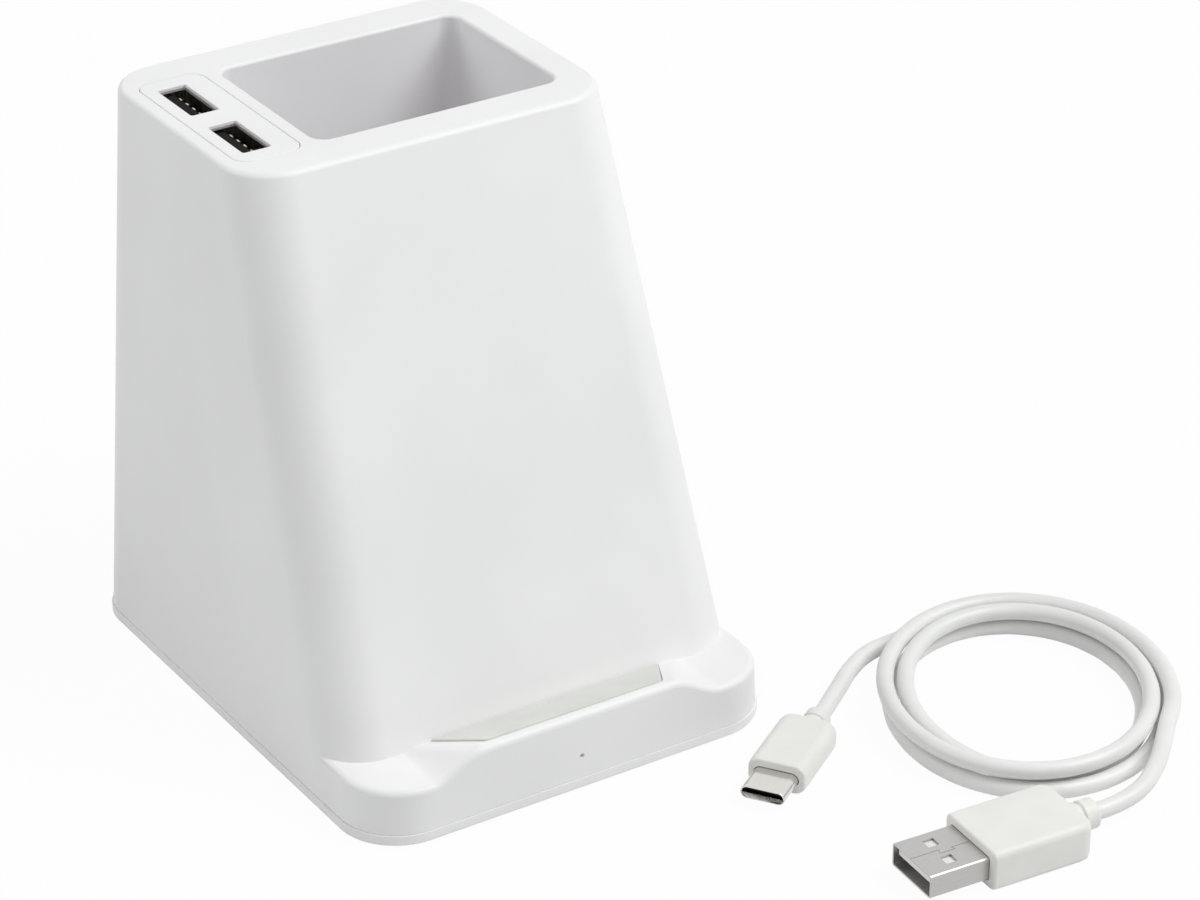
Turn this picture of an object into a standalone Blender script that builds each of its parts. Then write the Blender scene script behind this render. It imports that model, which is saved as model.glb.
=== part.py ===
"""Charging pen holder with its power cable.

A tapered housing carries a pen well, two USB-A sockets under an inset panel, a leaning face with a charging
coil behind it, and a foot whose raised ledge holds a telephone on a rubber strip. The cable lies beside it.
Metres, +Z up, the origin on the table under the middle of the holder, the foot towards -Y.
"""

import math

import bmesh
import bpy
from mathutils import Matrix, Vector

# Housing
BODY_HEIGHT = 0.1090
BASE_WIDTH = 0.0850
BASE_DEPTH = 0.1064
TOP_WIDTH = 0.0745
TOP_DEPTH = 0.05475
BACK_SETBACK = 0.0058
FACE_SETBACK = 0.0082
CORNER_RADIUS = 0.0100
RIM_FILLET = 0.0010
WALL = 0.0022
TOP_WALL = 0.0030

# Foot and ledge
PAD_HEIGHT = 0.0112
CREST_HEIGHT = 0.0154
RAMP_INSET = 0.0119606
RAMP_LENGTH = 0.0105
FOOT_CORNER_RADIUS = 0.0115
FOOT_FILLET = 0.0012
FOOT_TUCK = 0.00005
FOOT_ROOF_HEIGHT = 0.0080
FOOT_REACH = 0.0170
LEDGE_LAND = 0.0003

# Rubber strip on the ledge
STRIP_BACK_SPREAD = 0.0042
STRIP_FRONT_INSET = 0.0013
STRIP_MARGIN = 0.0005
STRIP_THICKNESS = 0.0010
STRIP_STAND = 0.0002
STRIP_CORNER = 0.0007

# Pen well
WELL_CORNER = 0.0030
WELL_LEFT_RIM = 0.01885
WELL_RIGHT_RIM = 0.00655
WELL_FRONT_RIM = 0.00865
WELL_BACK_RIM = 0.0088
WELL_FLOOR_HEIGHT = 0.0220
WELL_DRAFT = 0.0008
WELL_LIP = 0.0007
WELL_WALL = 0.0018
WELL_FLOOR_WALL = 0.0020

# Port panel
PANEL_WIDTH = 0.0127
PANEL_CORNER = 0.0030
PANEL_LEFT_RIM = 0.00315
PANEL_FRONT_RIM = 0.0075
PANEL_BACK_RIM = 0.00765
PANEL_THICKNESS = 0.0016
PANEL_SKIN = 0.0006
PANEL_REBATE = 0.0014
WINDOW_WIDTH = 0.0055
WINDOW_LENGTH = 0.0131
WINDOW_SOFTENING = 0.0003
PORT_SHIFT = -0.0010
# Share of the panel's free length that lies between its two ports
PORT_GAP_SHARE = 0.432836

# USB-A socket
SOCKET_WIDTH = 0.0057
SOCKET_LENGTH = 0.0131
SOCKET_HEIGHT = 0.0135
SOCKET_SHEET = 0.00035
SOCKET_CORNER = 0.0006
TONGUE_THICKNESS = 0.00184
TONGUE_LENGTH = 0.0111
TONGUE_BACK_GAP = 0.00064
TONGUE_BASE = 0.0035
CONTACT_WIDTH = 0.0010
CONTACT_THICKNESS = 0.00025
CONTACT_HEIGHT = 0.0092
CONTACT_PITCH = 0.0025

# USB board
USB_BOARD_WIDTH = 0.0100
USB_BOARD_MARGIN = 0.0016
USB_BOSS_RADIUS = 0.0023
USB_BOSS_REACH = 0.0048

# Fits and common parts
FIT = 0.0003
SEAM = 0.0003
OVERRUN = 0.0020
BOARD_THICKNESS = 0.0016
SCREW_RADIUS = 0.0010
SCREW_HEAD_RADIUS = 0.0019
SCREW_HEAD_HEIGHT = 0.0014
PILOT_RADIUS = 0.0013
CHAMFER = 0.0004

# Base cover and feet
COVER_LIFT = 0.0004
COVER_THICKNESS = 0.0019
COVER_PROUD = 0.0002
COVER_RIM = 0.0012
COVER_RIM_HEIGHT = 0.0027
RUBBER_FOOT_RADIUS = 0.0050
RUBBER_FOOT_HEIGHT = 0.0011
FOOT_INSET_X = 0.0100
FOOT_INSET_BACK = 0.0105
FOOT_INSET_FRONT = 0.0120
COVER_POST_RADIUS = 0.0040
HEAD_CLEARANCE = 0.0005
HEAD_SEAT_HEIGHT = 0.0033
HOUSING_BOSS_RADIUS = 0.0032
REAR_BOSS_TOP = 0.0220
BOSS_RIB = 0.0016
BASE_SCREW_LENGTH = 0.0060

# Main board and what it carries
BOARD_SIDE_GAP = 0.0045
MAIN_BOARD_LENGTH = 0.0420
MAIN_BOARD_BACK_GAP = 0.0047
STANDOFF_HEIGHT = 0.0017
STANDOFF_RADIUS = 0.0024
STANDOFF_INSET = 0.0035
BOARD_SCREW_LENGTH = 0.0030
CHIP_SIDE = 0.0070
CHIP_HEIGHT = 0.0010
INDUCTOR_SIDE = 0.0100
INDUCTOR_HEIGHT = 0.0045
INDUCTOR_CORNER = 0.0022
CAPACITOR_RADIUS = 0.00315
CAPACITOR_HEIGHT = 0.0058

# USB-C inlet
INLET_WIDTH = 0.00894
INLET_HEIGHT = 0.00326
INLET_DEPTH = 0.0073
INLET_SHEET = 0.0003
INLET_TONGUE_WIDTH = 0.0067
INLET_TONGUE_THICKNESS = 0.0007
INLET_BASE = 0.0020
INLET_RECESS = 0.0010
INLET_RECESS_WIDTH = 0.0126
INLET_RECESS_HEIGHT = 0.0070

# Indicator
LIGHT_HEIGHT = 0.0070
PIN_HOLE_RADIUS = 0.0006
LIGHT_PIPE_RADIUS = 0.0008
LIGHT_PIPE_LENGTH = 0.0023
LIGHT_WIDTH = 0.0030
LIGHT_DEPTH = 0.0012
LIGHT_TALL = 0.0016
LIGHT_BOARD_WIDTH = 0.0140
LIGHT_BOARD_DEPTH = 0.0060
LIGHT_BOARD_THICKNESS = 0.0010
LIGHT_POST_SPACING = 0.0100
LIGHT_POST_RADIUS = 0.0015

# Charging coil behind the face
COIL_DROP = 0.0450
WINDING_RADIUS = 0.0240
WINDING_BORE_RADIUS = 0.0105
WIRE_RADIUS = 0.0006
WINDING_PITCH = 0.0017
FERRITE_RADIUS = 0.0252
FERRITE_THICKNESS = 0.0020
CARRIER_SIDE = 0.0540
CARRIER_CORNER = 0.0050
CARRIER_THICKNESS = 0.0016
CARRIER_WINDOW_RADIUS = 0.0090
CARRIER_BOSS_SPACING = 0.0450
CARRIER_BOSS_RADIUS = 0.0028
COIL_SCREW_LENGTH = 0.0042

# Leads inside
RIBBON_WIDTH = 0.0080
RIBBON_THICKNESS = 0.0010
RIBBON_BEND = 0.0080
LEAD_RADIUS = 0.0009
COIL_LEAD_X = 0.0080
LEAD_LANDING = 0.0040
RIBBON_LANDING = 0.0035
RIBBON_BACK_GAP = 0.02855

# Cable
CABLE_DIAMETER = 0.0032
CABLE_TURNS_CENTRE = (0.0810, -0.0745)
CABLE_HALF_WIDTH = 0.0270
CABLE_HALF_DEPTH = 0.0315
CABLE_HEADING = math.radians(58.0)
CABLE_START_ANGLE = math.radians(125.0)
CABLE_END_ANGLE = math.radians(-25.0)
CABLE_WHOLE_TURNS = 3
CABLE_PITCH = 0.00375
CABLE_LAYER = 0.0037
CABLE_POINT_SPACING = 0.0072

# USB-C plug
C_NECK_PLACE = (0.0459, -0.0602)
C_HEADING = math.radians(214.0)
C_NECK_DIAMETER = 0.0048
C_NECK_LENGTH = 0.0042
C_GRIP_LENGTH = 0.0170
C_GRIP_WIDTH = 0.0110
C_GRIP_HEIGHT = 0.0058
C_GRIP_ROUNDING = 0.0021
C_SHELL_WIDTH = 0.00834
C_SHELL_HEIGHT = 0.00256
C_SHELL_REACH = 0.00665
C_SHELL_SHEET = 0.0003
C_CORE_RECESS = 0.0040

# USB-A plug
A_NECK_PLACE = (0.0668, -0.1125)
A_HEADING = math.radians(176.0)
A_NECK_DIAMETER = 0.0056
A_NECK_LENGTH = 0.0048
A_GRIP_LENGTH = 0.0205
A_GRIP_WIDTH = 0.0156
A_GRIP_HEIGHT = 0.0078
A_GRIP_ROUNDING = 0.0014
A_SHELL_WIDTH = 0.0120
A_SHELL_HEIGHT = 0.0045
A_SHELL_REACH = 0.01175
A_SHELL_SHEET = 0.00035
A_SHELL_CORNER = 0.0005
A_WINDOW = 0.0022
A_WINDOW_SPACING = 0.0056
A_WINDOW_BACK = 0.0056
A_INSERT_HEIGHT = 0.0019
A_INSERT_WIDTH = 0.0106
A_INSERT_RECESS = 0.0008
PLUG_SEAT = 0.0020

# How far a bend's handles reach, as a share of its span
BEND_SHARE = 0.36

# The ribbon's last bend: shares of its way across and of its height
RIBBON_ACROSS_SHARES = (0.0, 0.25, 0.6)
RIBBON_UP_SHARES = (1.0, 0.45, 0.15)

# Shares of a screw's head and point, and of a full round end
SCREW_CROWN_SHARE = 0.7
SCREW_EDGE_SHARE = 0.55
SCREW_POINT_SHARE = 0.4
ROUND_END_SHARE = 0.999

# Shape shares of a plug's grip along its length: length, width, height
GRIP_LENGTH_SHARES = (0.0, 0.03, 0.10, 0.85, 0.97, 1.0)
GRIP_WIDTH_SHARES = (0.80, 0.93, 0.99, 1.0, 0.99, 0.96)
GRIP_HEIGHT_SHARES = (0.86, 0.95, 0.99, 1.0, 0.99, 0.95)

# Counts
CORNER_STEPS = 8
SMALL_STEPS = 4
FILLET_STEPS = 4
RAMP_STEPS = 8
ROUND_SIDES = 24
SMALL_SIDES = 12
LOOP_POINTS = 24

# Worked out from the sizes above
BASE_BACK_Y = BASE_DEPTH / 2
FOOT_FRONT_Y = -BASE_DEPTH / 2
FACE_FOOT_Y = FOOT_FRONT_Y + FACE_SETBACK
TOP_BACK_Y = BASE_BACK_Y - BACK_SETBACK
FACE_TOP_Y = TOP_BACK_Y - TOP_DEPTH
FACE_LEAN = math.atan2(FACE_TOP_Y - FACE_FOOT_Y, BODY_HEIGHT)
COVER_TOP = COVER_LIFT + COVER_THICKNESS
HOUSING_BOTTOM = COVER_TOP + SEAM
PAD_WIDTH = BASE_WIDTH + (TOP_WIDTH - BASE_WIDTH) * PAD_HEIGHT / BODY_HEIGHT
CREST_LENGTH = PAD_WIDTH - 2 * (RAMP_INSET + RAMP_LENGTH)
STRIP_BACK_LENGTH = CREST_LENGTH + 2 * STRIP_BACK_SPREAD
STRIP_FRONT_LENGTH = CREST_LENGTH - 2 * STRIP_FRONT_INSET
WELL_X_HIGH = TOP_WIDTH / 2 - WELL_RIGHT_RIM
WELL_X_LOW = WELL_LEFT_RIM - TOP_WIDTH / 2
WELL_Y_HIGH = TOP_BACK_Y - WELL_BACK_RIM
WELL_Y_LOW = FACE_TOP_Y + WELL_FRONT_RIM
PANEL_X = -TOP_WIDTH / 2 + PANEL_LEFT_RIM + PANEL_WIDTH / 2
PANEL_Y_LOW = FACE_TOP_Y + PANEL_FRONT_RIM
PANEL_Y_HIGH = TOP_BACK_Y - PANEL_BACK_RIM
PANEL_LENGTH = PANEL_Y_HIGH - PANEL_Y_LOW
PANEL_Y = (PANEL_Y_LOW + PANEL_Y_HIGH) / 2
PORT_ROOM = PANEL_LENGTH - 2 * SOCKET_LENGTH
PORT_X = PANEL_X + PORT_SHIFT
PORT_SPACING = SOCKET_LENGTH + PORT_ROOM * PORT_GAP_SHARE
PORT_YS = (PANEL_Y + PORT_SPACING / 2, PANEL_Y - PORT_SPACING / 2)
USB_BOSS_SPACING = PORT_SPACING + SOCKET_LENGTH + 2 * USB_BOSS_REACH
USB_BOSS_YS = (PANEL_Y - USB_BOSS_SPACING / 2, PANEL_Y + USB_BOSS_SPACING / 2)
SOCKET_TOP = BODY_HEIGHT - PANEL_SKIN - FIT
SOCKET_BOTTOM = SOCKET_TOP - SOCKET_HEIGHT
USB_BOARD_TOP = SOCKET_BOTTOM - FIT
MAIN_BOARD_WIDTH = BASE_WIDTH - 2 * (FOOT_INSET_X + COVER_POST_RADIUS + BOARD_SIDE_GAP)
MAIN_BOARD_BOTTOM = COVER_TOP + STANDOFF_HEIGHT + FIT
MAIN_BOARD_TOP = MAIN_BOARD_BOTTOM + BOARD_THICKNESS
MAIN_BOARD_BACK_Y = BASE_BACK_Y - MAIN_BOARD_BACK_GAP
MAIN_BOARD_FRONT_Y = MAIN_BOARD_BACK_Y - MAIN_BOARD_LENGTH
COIL_HEIGHT = BODY_HEIGHT - COIL_DROP
LEDGE_ORIGIN = Vector((0.0, FOOT_FRONT_Y + FOOT_FILLET + LEDGE_LAND, CREST_HEIGHT))
BOSS_TOP = COVER_TOP + COVER_RIM_HEIGHT + FIT


def clear_scene():
    for item in list(bpy.data.objects):
        bpy.data.objects.remove(item, do_unlink=True)


def material(name, colour, roughness, metallic=0.0):
    finish = bpy.data.materials.new(name)
    finish.use_nodes = True
    shader = finish.node_tree.nodes["Principled BSDF"]
    shader.inputs["Base Color"].default_value = (*colour, 1.0)
    shader.inputs["Roughness"].default_value = roughness
    shader.inputs["Metallic"].default_value = metallic
    return finish


def mix(low, high, share):
    return low + (high - low) * share


def make(name, mesh, finish=None):
    """Turns a bmesh into a named object, with its faces pointing out."""
    bmesh.ops.recalc_face_normals(mesh, faces=mesh.faces)
    data = bpy.data.meshes.new(name)
    mesh.to_mesh(data)
    mesh.free()
    piece = bpy.data.objects.new(name, data)
    bpy.context.scene.collection.objects.link(piece)
    if finish:
        data.materials.append(finish)
        smooth(piece)
    return piece


def smooth(piece):
    piece.data.shade_smooth()
    piece.data.set_sharp_from_angle(angle=math.radians(35.0))


def combine(piece, tools, operation="DIFFERENCE"):
    """Cuts the tools out of a piece, or joins them to it, and removes the tools."""
    for tool in tools:
        tool.hide_render = True
        tool.display_type = "WIRE"
        step = piece.modifiers.new(tool.name, "BOOLEAN")
        step.operation = operation
        step.solver = "EXACT"
        step.object = tool
    bpy.context.view_layer.update()
    graph = bpy.context.evaluated_depsgraph_get()
    shape = bpy.data.meshes.new_from_object(piece.evaluated_get(graph))
    piece.modifiers.clear()
    piece.data = shape
    for tool in tools:
        bpy.data.objects.remove(tool, do_unlink=True)
    if shape.materials:
        smooth(piece)
    return piece


def loft(rings):
    """A closed skin through rings of equally many points, with flat ends."""
    mesh = bmesh.new()
    loops = [[mesh.verts.new(point) for point in ring] for ring in rings]
    for low, high in zip(loops, loops[1:]):
        for here in range(len(low)):
            after = (here + 1) % len(low)
            mesh.faces.new((low[here], low[after], high[after], high[here]))
    mesh.faces.new(list(reversed(loops[0])))
    mesh.faces.new(loops[-1])
    return mesh


def sleeve(outer, inner):
    """A tube between two pairs of rings: outer low and high, inner low and high."""
    mesh = bmesh.new()
    loops = [[mesh.verts.new(point) for point in ring] for ring in (*outer, *reversed(inner))]
    for low, high in zip(loops, loops[1:] + loops[:1]):
        for here in range(len(low)):
            after = (here + 1) % len(low)
            mesh.faces.new((low[here], low[after], high[after], high[here]))
    return mesh


def box(low, high):
    mesh = bmesh.new()
    middle = Matrix.Translation([(a + b) / 2 for a, b in zip(low, high)])
    size = Matrix.Diagonal([b - a for a, b in zip(low, high)]).to_4x4()
    bmesh.ops.create_cube(mesh, size=1.0, matrix=middle @ size)
    return mesh


def centred_box(centre, size):
    low = [c - s / 2 for c, s in zip(centre, size)]
    high = [c + s / 2 for c, s in zip(centre, size)]
    return box(low, high)


def cylinder(start, end, radius, sides=ROUND_SIDES):
    """A round bar from start to end."""
    start, end = Vector(start), Vector(end)
    mesh = bmesh.new()
    turn = (end - start).to_track_quat("Z", "Y").to_matrix().to_4x4()
    place = Matrix.Translation((start + end) / 2) @ turn
    bmesh.ops.create_cone(mesh, cap_ends=True, segments=sides, radius1=radius, radius2=radius,
                          depth=(end - start).length, matrix=place)
    return mesh


def prism(points, low, high):
    """An outline of x, y points raised from low to high."""
    return loft([[Vector((x, y, z)) for x, y in points] for z in (low, high)])


def rounded_ring(x_low, x_high, y_low, y_high, front_radius, back_radius, z, steps=CORNER_STEPS):
    """Points round a rectangle at height z, whose front and back corners have their own radii."""
    corners = (
        (x_high - back_radius, y_high - back_radius, back_radius),
        (x_low + back_radius, y_high - back_radius, back_radius),
        (x_low + front_radius, y_low + front_radius, front_radius),
        (x_high - front_radius, y_low + front_radius, front_radius),
    )
    ring = []
    for quarter, (x, y, radius) in enumerate(corners):
        for step in range(steps + 1):
            angle = (quarter + step / steps) * math.pi / 2
            ring.append(Vector((x + radius * math.cos(angle), y + radius * math.sin(angle), z)))
    return ring


def centred_ring(x, y, width, length, radius, z, steps=SMALL_STEPS):
    half, reach = width / 2, length / 2
    return rounded_ring(x - half, x + half, y - reach, y + reach, radius, radius, z, steps)


def section(z, inset=0.0):
    """Half width, front and back of the tapered body at height z, drawn in by inset."""
    share = z / BODY_HEIGHT
    half = mix(BASE_WIDTH, TOP_WIDTH, share) / 2 - inset
    front = mix(FACE_FOOT_Y, FACE_TOP_Y, share) + inset / math.cos(FACE_LEAN)
    back = mix(BASE_BACK_Y, TOP_BACK_Y, share) - inset
    return half, front, back


def body_ring(z, inset=0.0):
    half, front, back = section(z, inset)
    radius = CORNER_RADIUS - inset
    return rounded_ring(-half, half, front, back, radius, radius, z)


def base_ring(z, inset=0.0):
    """Outline of the body and foot together near the table."""
    half, _, back = section(z, inset)
    front = FOOT_FRONT_Y + inset
    return rounded_ring(-half, half, front, back, FOOT_CORNER_RADIUS - inset, CORNER_RADIUS - inset, z)


def well_ring(z, outset=0.0):
    radius = WELL_CORNER + outset
    return rounded_ring(WELL_X_LOW - outset, WELL_X_HIGH + outset, WELL_Y_LOW - outset, WELL_Y_HIGH + outset,
                        radius, radius, z)


def body_block():
    rings = [body_ring(HOUSING_BOTTOM)]
    for step in range(FILLET_STEPS + 1):
        angle = step / FILLET_STEPS * math.pi / 2
        rise = BODY_HEIGHT - RIM_FILLET * (1 - math.sin(angle))
        rings.append(body_ring(rise, RIM_FILLET * (1 - math.cos(angle))))
    return make("housing", loft(rings))


def foot_top(x):
    """Height of the foot over its width: flat pads, a smooth ramp, a raised crest."""
    share = (abs(x) - CREST_LENGTH / 2) / RAMP_LENGTH
    share = min(max(share, 0.0), 1.0)
    return mix(CREST_HEIGHT, PAD_HEIGHT, share * share * (3 - 2 * share))


def foot_outline(z, inset):
    """The foot's front outline from its left back end to its right back end."""
    half = section(z)[0] - FOOT_TUCK - inset
    radius = FOOT_CORNER_RADIUS - inset
    front = FOOT_FRONT_Y + inset
    back = FOOT_FRONT_Y + FOOT_REACH + CORNER_RADIUS
    left = [(-half, back)]
    for step in range(CORNER_STEPS + 1):
        angle = math.pi * (1 + step / CORNER_STEPS / 2)
        left.append((-half + radius * (1 + math.cos(angle)), front + radius * (1 + math.sin(angle))))
    for step in range(RAMP_STEPS + 1):
        left.append((-CREST_LENGTH / 2 - RAMP_LENGTH * (1 - step / RAMP_STEPS), front))
    return left + [(-x, y) for x, y in reversed(left)]


def foot_block():
    """The foot with its filleted upper edge, its pads, ramps and crest."""
    mesh = bmesh.new()
    levels = [[mesh.verts.new((x, y, HOUSING_BOTTOM)) for x, y in foot_outline(HOUSING_BOTTOM, 0.0)]]
    for step in range(FILLET_STEPS + 1):
        angle = step / FILLET_STEPS * math.pi / 2
        inset = FOOT_FILLET * (1 - math.cos(angle))
        drop = FOOT_FILLET * (1 - math.sin(angle))
        outline = foot_outline(PAD_HEIGHT - drop, inset)
        levels.append([mesh.verts.new((x, y, foot_top(x) - drop)) for x, y in outline])
    for low, high in zip(levels, levels[1:]):
        for here in range(len(low) - 1):
            mesh.faces.new((low[here], low[here + 1], high[here + 1], high[here]))
    top = levels[-1]
    back = top[0].co.y
    spine = [top[0]]
    for vertex in top[2:-2]:
        spine.append(mesh.verts.new((vertex.co.x, back, vertex.co.z)))
    spine.append(top[-1])
    for here in range(len(spine) - 1):
        mesh.faces.new((top[here + 1], top[here + 2], spine[here + 1], spine[here]))
    mesh.faces.new(list(reversed(levels[0])))
    left_side = [level[0] for level in levels[:-1]]
    right_side = [level[-1] for level in reversed(levels[:-1])]
    mesh.faces.new(left_side + spine + right_side)
    return make("foot", mesh)


def ledge_frame():
    """Places the ledge's own axes: x along it, y down its slope to the face, z out of it."""
    return Matrix.Translation(LEDGE_ORIGIN) @ Matrix.Rotation(-FACE_LEAN, 4, "X")


def ledge_run():
    """Length of the ledge's slope from its crest to the leaning face."""
    rise = LEDGE_ORIGIN.z * math.sin(FACE_LEAN)
    return rise - (LEDGE_ORIGIN.y - FACE_FOOT_Y) * math.cos(FACE_LEAN)


def ledge_cutter():
    """Slopes the ledge back from its crest, between the ends of its ramps."""
    reach = CREST_LENGTH / 2 + RAMP_LENGTH - RAMP_LENGTH / RAMP_STEPS / 2
    mesh = box((-reach, -OVERRUN, 0.0), (reach, ledge_run() + OVERRUN, CREST_HEIGHT))
    mesh.transform(ledge_frame())
    return make("ledge_cutter", mesh)


def strip_outline(clearance):
    """The rubber strip's outline on the slope: long at the face, short at the crest."""
    front = STRIP_MARGIN + FIT - clearance
    back = ledge_run() - FIT + clearance - STRIP_STAND / 2
    return [(-STRIP_FRONT_LENGTH / 2 - clearance, front), (STRIP_FRONT_LENGTH / 2 + clearance, front),
            (STRIP_BACK_LENGTH / 2 + clearance, back), (-STRIP_BACK_LENGTH / 2 - clearance, back)]


def strip_shape(clearance, low, high):
    mesh = prism(strip_outline(clearance), low, high)
    upright = [edge for edge in mesh.edges if abs(edge.verts[0].co.z - edge.verts[1].co.z) > FIT]
    front = [edge for edge in upright if edge.verts[0].co.y < ledge_run() / 2]
    bmesh.ops.bevel(mesh, geom=front, offset=STRIP_CORNER + clearance, segments=2, profile=0.5,
                    affect="EDGES")
    mesh.transform(ledge_frame())
    return mesh


def face_frame():
    """Axes on the face's inner side at the coil's height: y up the slope, z into the body."""
    front = section(COIL_HEIGHT, WALL)[1]
    turn = Matrix(((-1.0, 0.0, 0.0), (0.0, math.sin(FACE_LEAN), math.cos(FACE_LEAN)),
                   (0.0, math.cos(FACE_LEAN), -math.sin(FACE_LEAN))))
    return Matrix.Translation((0.0, front, COIL_HEIGHT)) @ turn.to_4x4()


def corner_signs():
    return [(x, y) for x in (-1, 1) for y in (-1, 1)]


def foot_places():
    """Middles of the rubber feet, each over one base screw."""
    side = BASE_WIDTH / 2 - FOOT_INSET_X
    back = BASE_BACK_Y - FOOT_INSET_BACK
    front = FOOT_FRONT_Y + FOOT_INSET_FRONT
    return [(-side, front), (side, front), (-side, back), (side, back)]


def coil_boss_depth():
    return FIT + 2 * WIRE_RADIUS + FIT + FERRITE_THICKNESS


def ribbed_outline(x, y):
    """A round boss with a rib that runs out to the corner beside it."""
    heading = math.atan2(1, math.copysign(1, x))
    edge = math.asin(BOSS_RIB / 2 / HOUSING_BOSS_RADIUS)
    points = [(CORNER_RADIUS, -BOSS_RIB / 2), (CORNER_RADIUS, BOSS_RIB / 2)]
    for step in range(ROUND_SIDES + 1):
        angle = mix(edge, 2 * math.pi - edge, step / ROUND_SIDES)
        points.append((HOUSING_BOSS_RADIUS * math.cos(angle), HOUSING_BOSS_RADIUS * math.sin(angle)))
    turn = Matrix.Rotation(heading, 2)
    return [(x + point.x, y + point.y) for point in (turn @ Vector(point) for point in points)]


def housing_solids_inside():
    """What stays solid inside the cavity: the well's walls, bosses and ribs."""
    floor = well_ring(WELL_FLOOR_HEIGHT - WELL_FLOOR_WALL, WELL_WALL - WELL_DRAFT)
    solids = [make("well_block", loft([floor, well_ring(BODY_HEIGHT, WELL_WALL)]))]
    for x, y in foot_places():
        if y > 0:
            solids.append(make("boss", prism(ribbed_outline(x, y), BOSS_TOP, REAR_BOSS_TOP)))
        else:
            top = FOOT_ROOF_HEIGHT + OVERRUN
            solids.append(make("boss", cylinder((x, y, BOSS_TOP), (x, y, top), HOUSING_BOSS_RADIUS)))
    for y in USB_BOSS_YS:
        low = (PORT_X, y, USB_BOARD_TOP + FIT)
        solids.append(make("usb_boss", cylinder(low, (PORT_X, y, BODY_HEIGHT), USB_BOSS_RADIUS)))
    for x, y in corner_signs():
        centre = (x * CARRIER_BOSS_SPACING / 2, y * CARRIER_BOSS_SPACING / 2)
        mesh = cylinder((*centre, -WALL), (*centre, coil_boss_depth()), CARRIER_BOSS_RADIUS)
        mesh.transform(face_frame())
        solids.append(make("coil_boss", mesh))
    return solids


def foot_hollow_ring(z):
    """Outline of the space in the foot, which runs back into the body's own."""
    half = section(z, WALL + FOOT_TUCK)[0]
    front = FOOT_FRONT_Y + WALL
    radius = FOOT_CORNER_RADIUS - WALL
    return rounded_ring(-half, half, front, front + FOOT_REACH + CORNER_RADIUS, radius, WALL, z)


def cavity():
    """The space inside the housing, open below."""
    lower = HOUSING_BOTTOM - OVERRUN
    hollow = make("cavity", loft([body_ring(lower, WALL), body_ring(BODY_HEIGHT - TOP_WALL, WALL)]))
    foot_hollow = make("foot_hollow", loft([foot_hollow_ring(lower), foot_hollow_ring(FOOT_ROOF_HEIGHT)]))
    combine(hollow, [foot_hollow], "UNION")
    return combine(hollow, housing_solids_inside())


def well_cutter():
    rings = [well_ring(WELL_FLOOR_HEIGHT, -WELL_DRAFT)]
    for step in range(FILLET_STEPS + 1):
        angle = step / FILLET_STEPS * math.pi / 2
        rise = BODY_HEIGHT - WELL_LIP * (1 - math.sin(angle))
        rings.append(well_ring(rise, WELL_LIP * (1 - math.cos(angle))))
    rings.append(well_ring(BODY_HEIGHT + OVERRUN, WELL_LIP))
    return make("well_cutter", loft(rings))


def panel_recess():
    """The rebate the panel lies in and the opening under it for the sockets."""
    floor = BODY_HEIGHT - PANEL_THICKNESS - FIT
    wide = [centred_ring(PANEL_X, PANEL_Y, PANEL_WIDTH + 2 * SEAM, PANEL_LENGTH + 2 * SEAM,
                         PANEL_CORNER + SEAM, z) for z in (floor, BODY_HEIGHT + OVERRUN)]
    width = PANEL_WIDTH - 2 * PANEL_REBATE
    length = PANEL_LENGTH - 2 * PANEL_REBATE
    through = [centred_ring(PANEL_X, PANEL_Y, width, length, PANEL_CORNER - PANEL_REBATE, z)
               for z in (BODY_HEIGHT - TOP_WALL - OVERRUN, BODY_HEIGHT)]
    return [make("recess", loft(wide)), make("through", loft(through))]


def inlet_height():
    return MAIN_BOARD_TOP + FIT + INLET_HEIGHT / 2


def inlet_mouth_y():
    """Where the inlet's mouth ends: at the floor of the shallow recess in the back."""
    return section(inlet_height())[2] - INLET_RECESS


def stadium(width, height, y, z, steps=SMALL_STEPS):
    """A slot outline that stands across Y, widest along X."""
    flat = centred_ring(0.0, z, width, height, height / 2 * ROUND_END_SHARE, 0.0, steps)
    return [Vector((point.x, y, point.y)) for point in flat]


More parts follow.
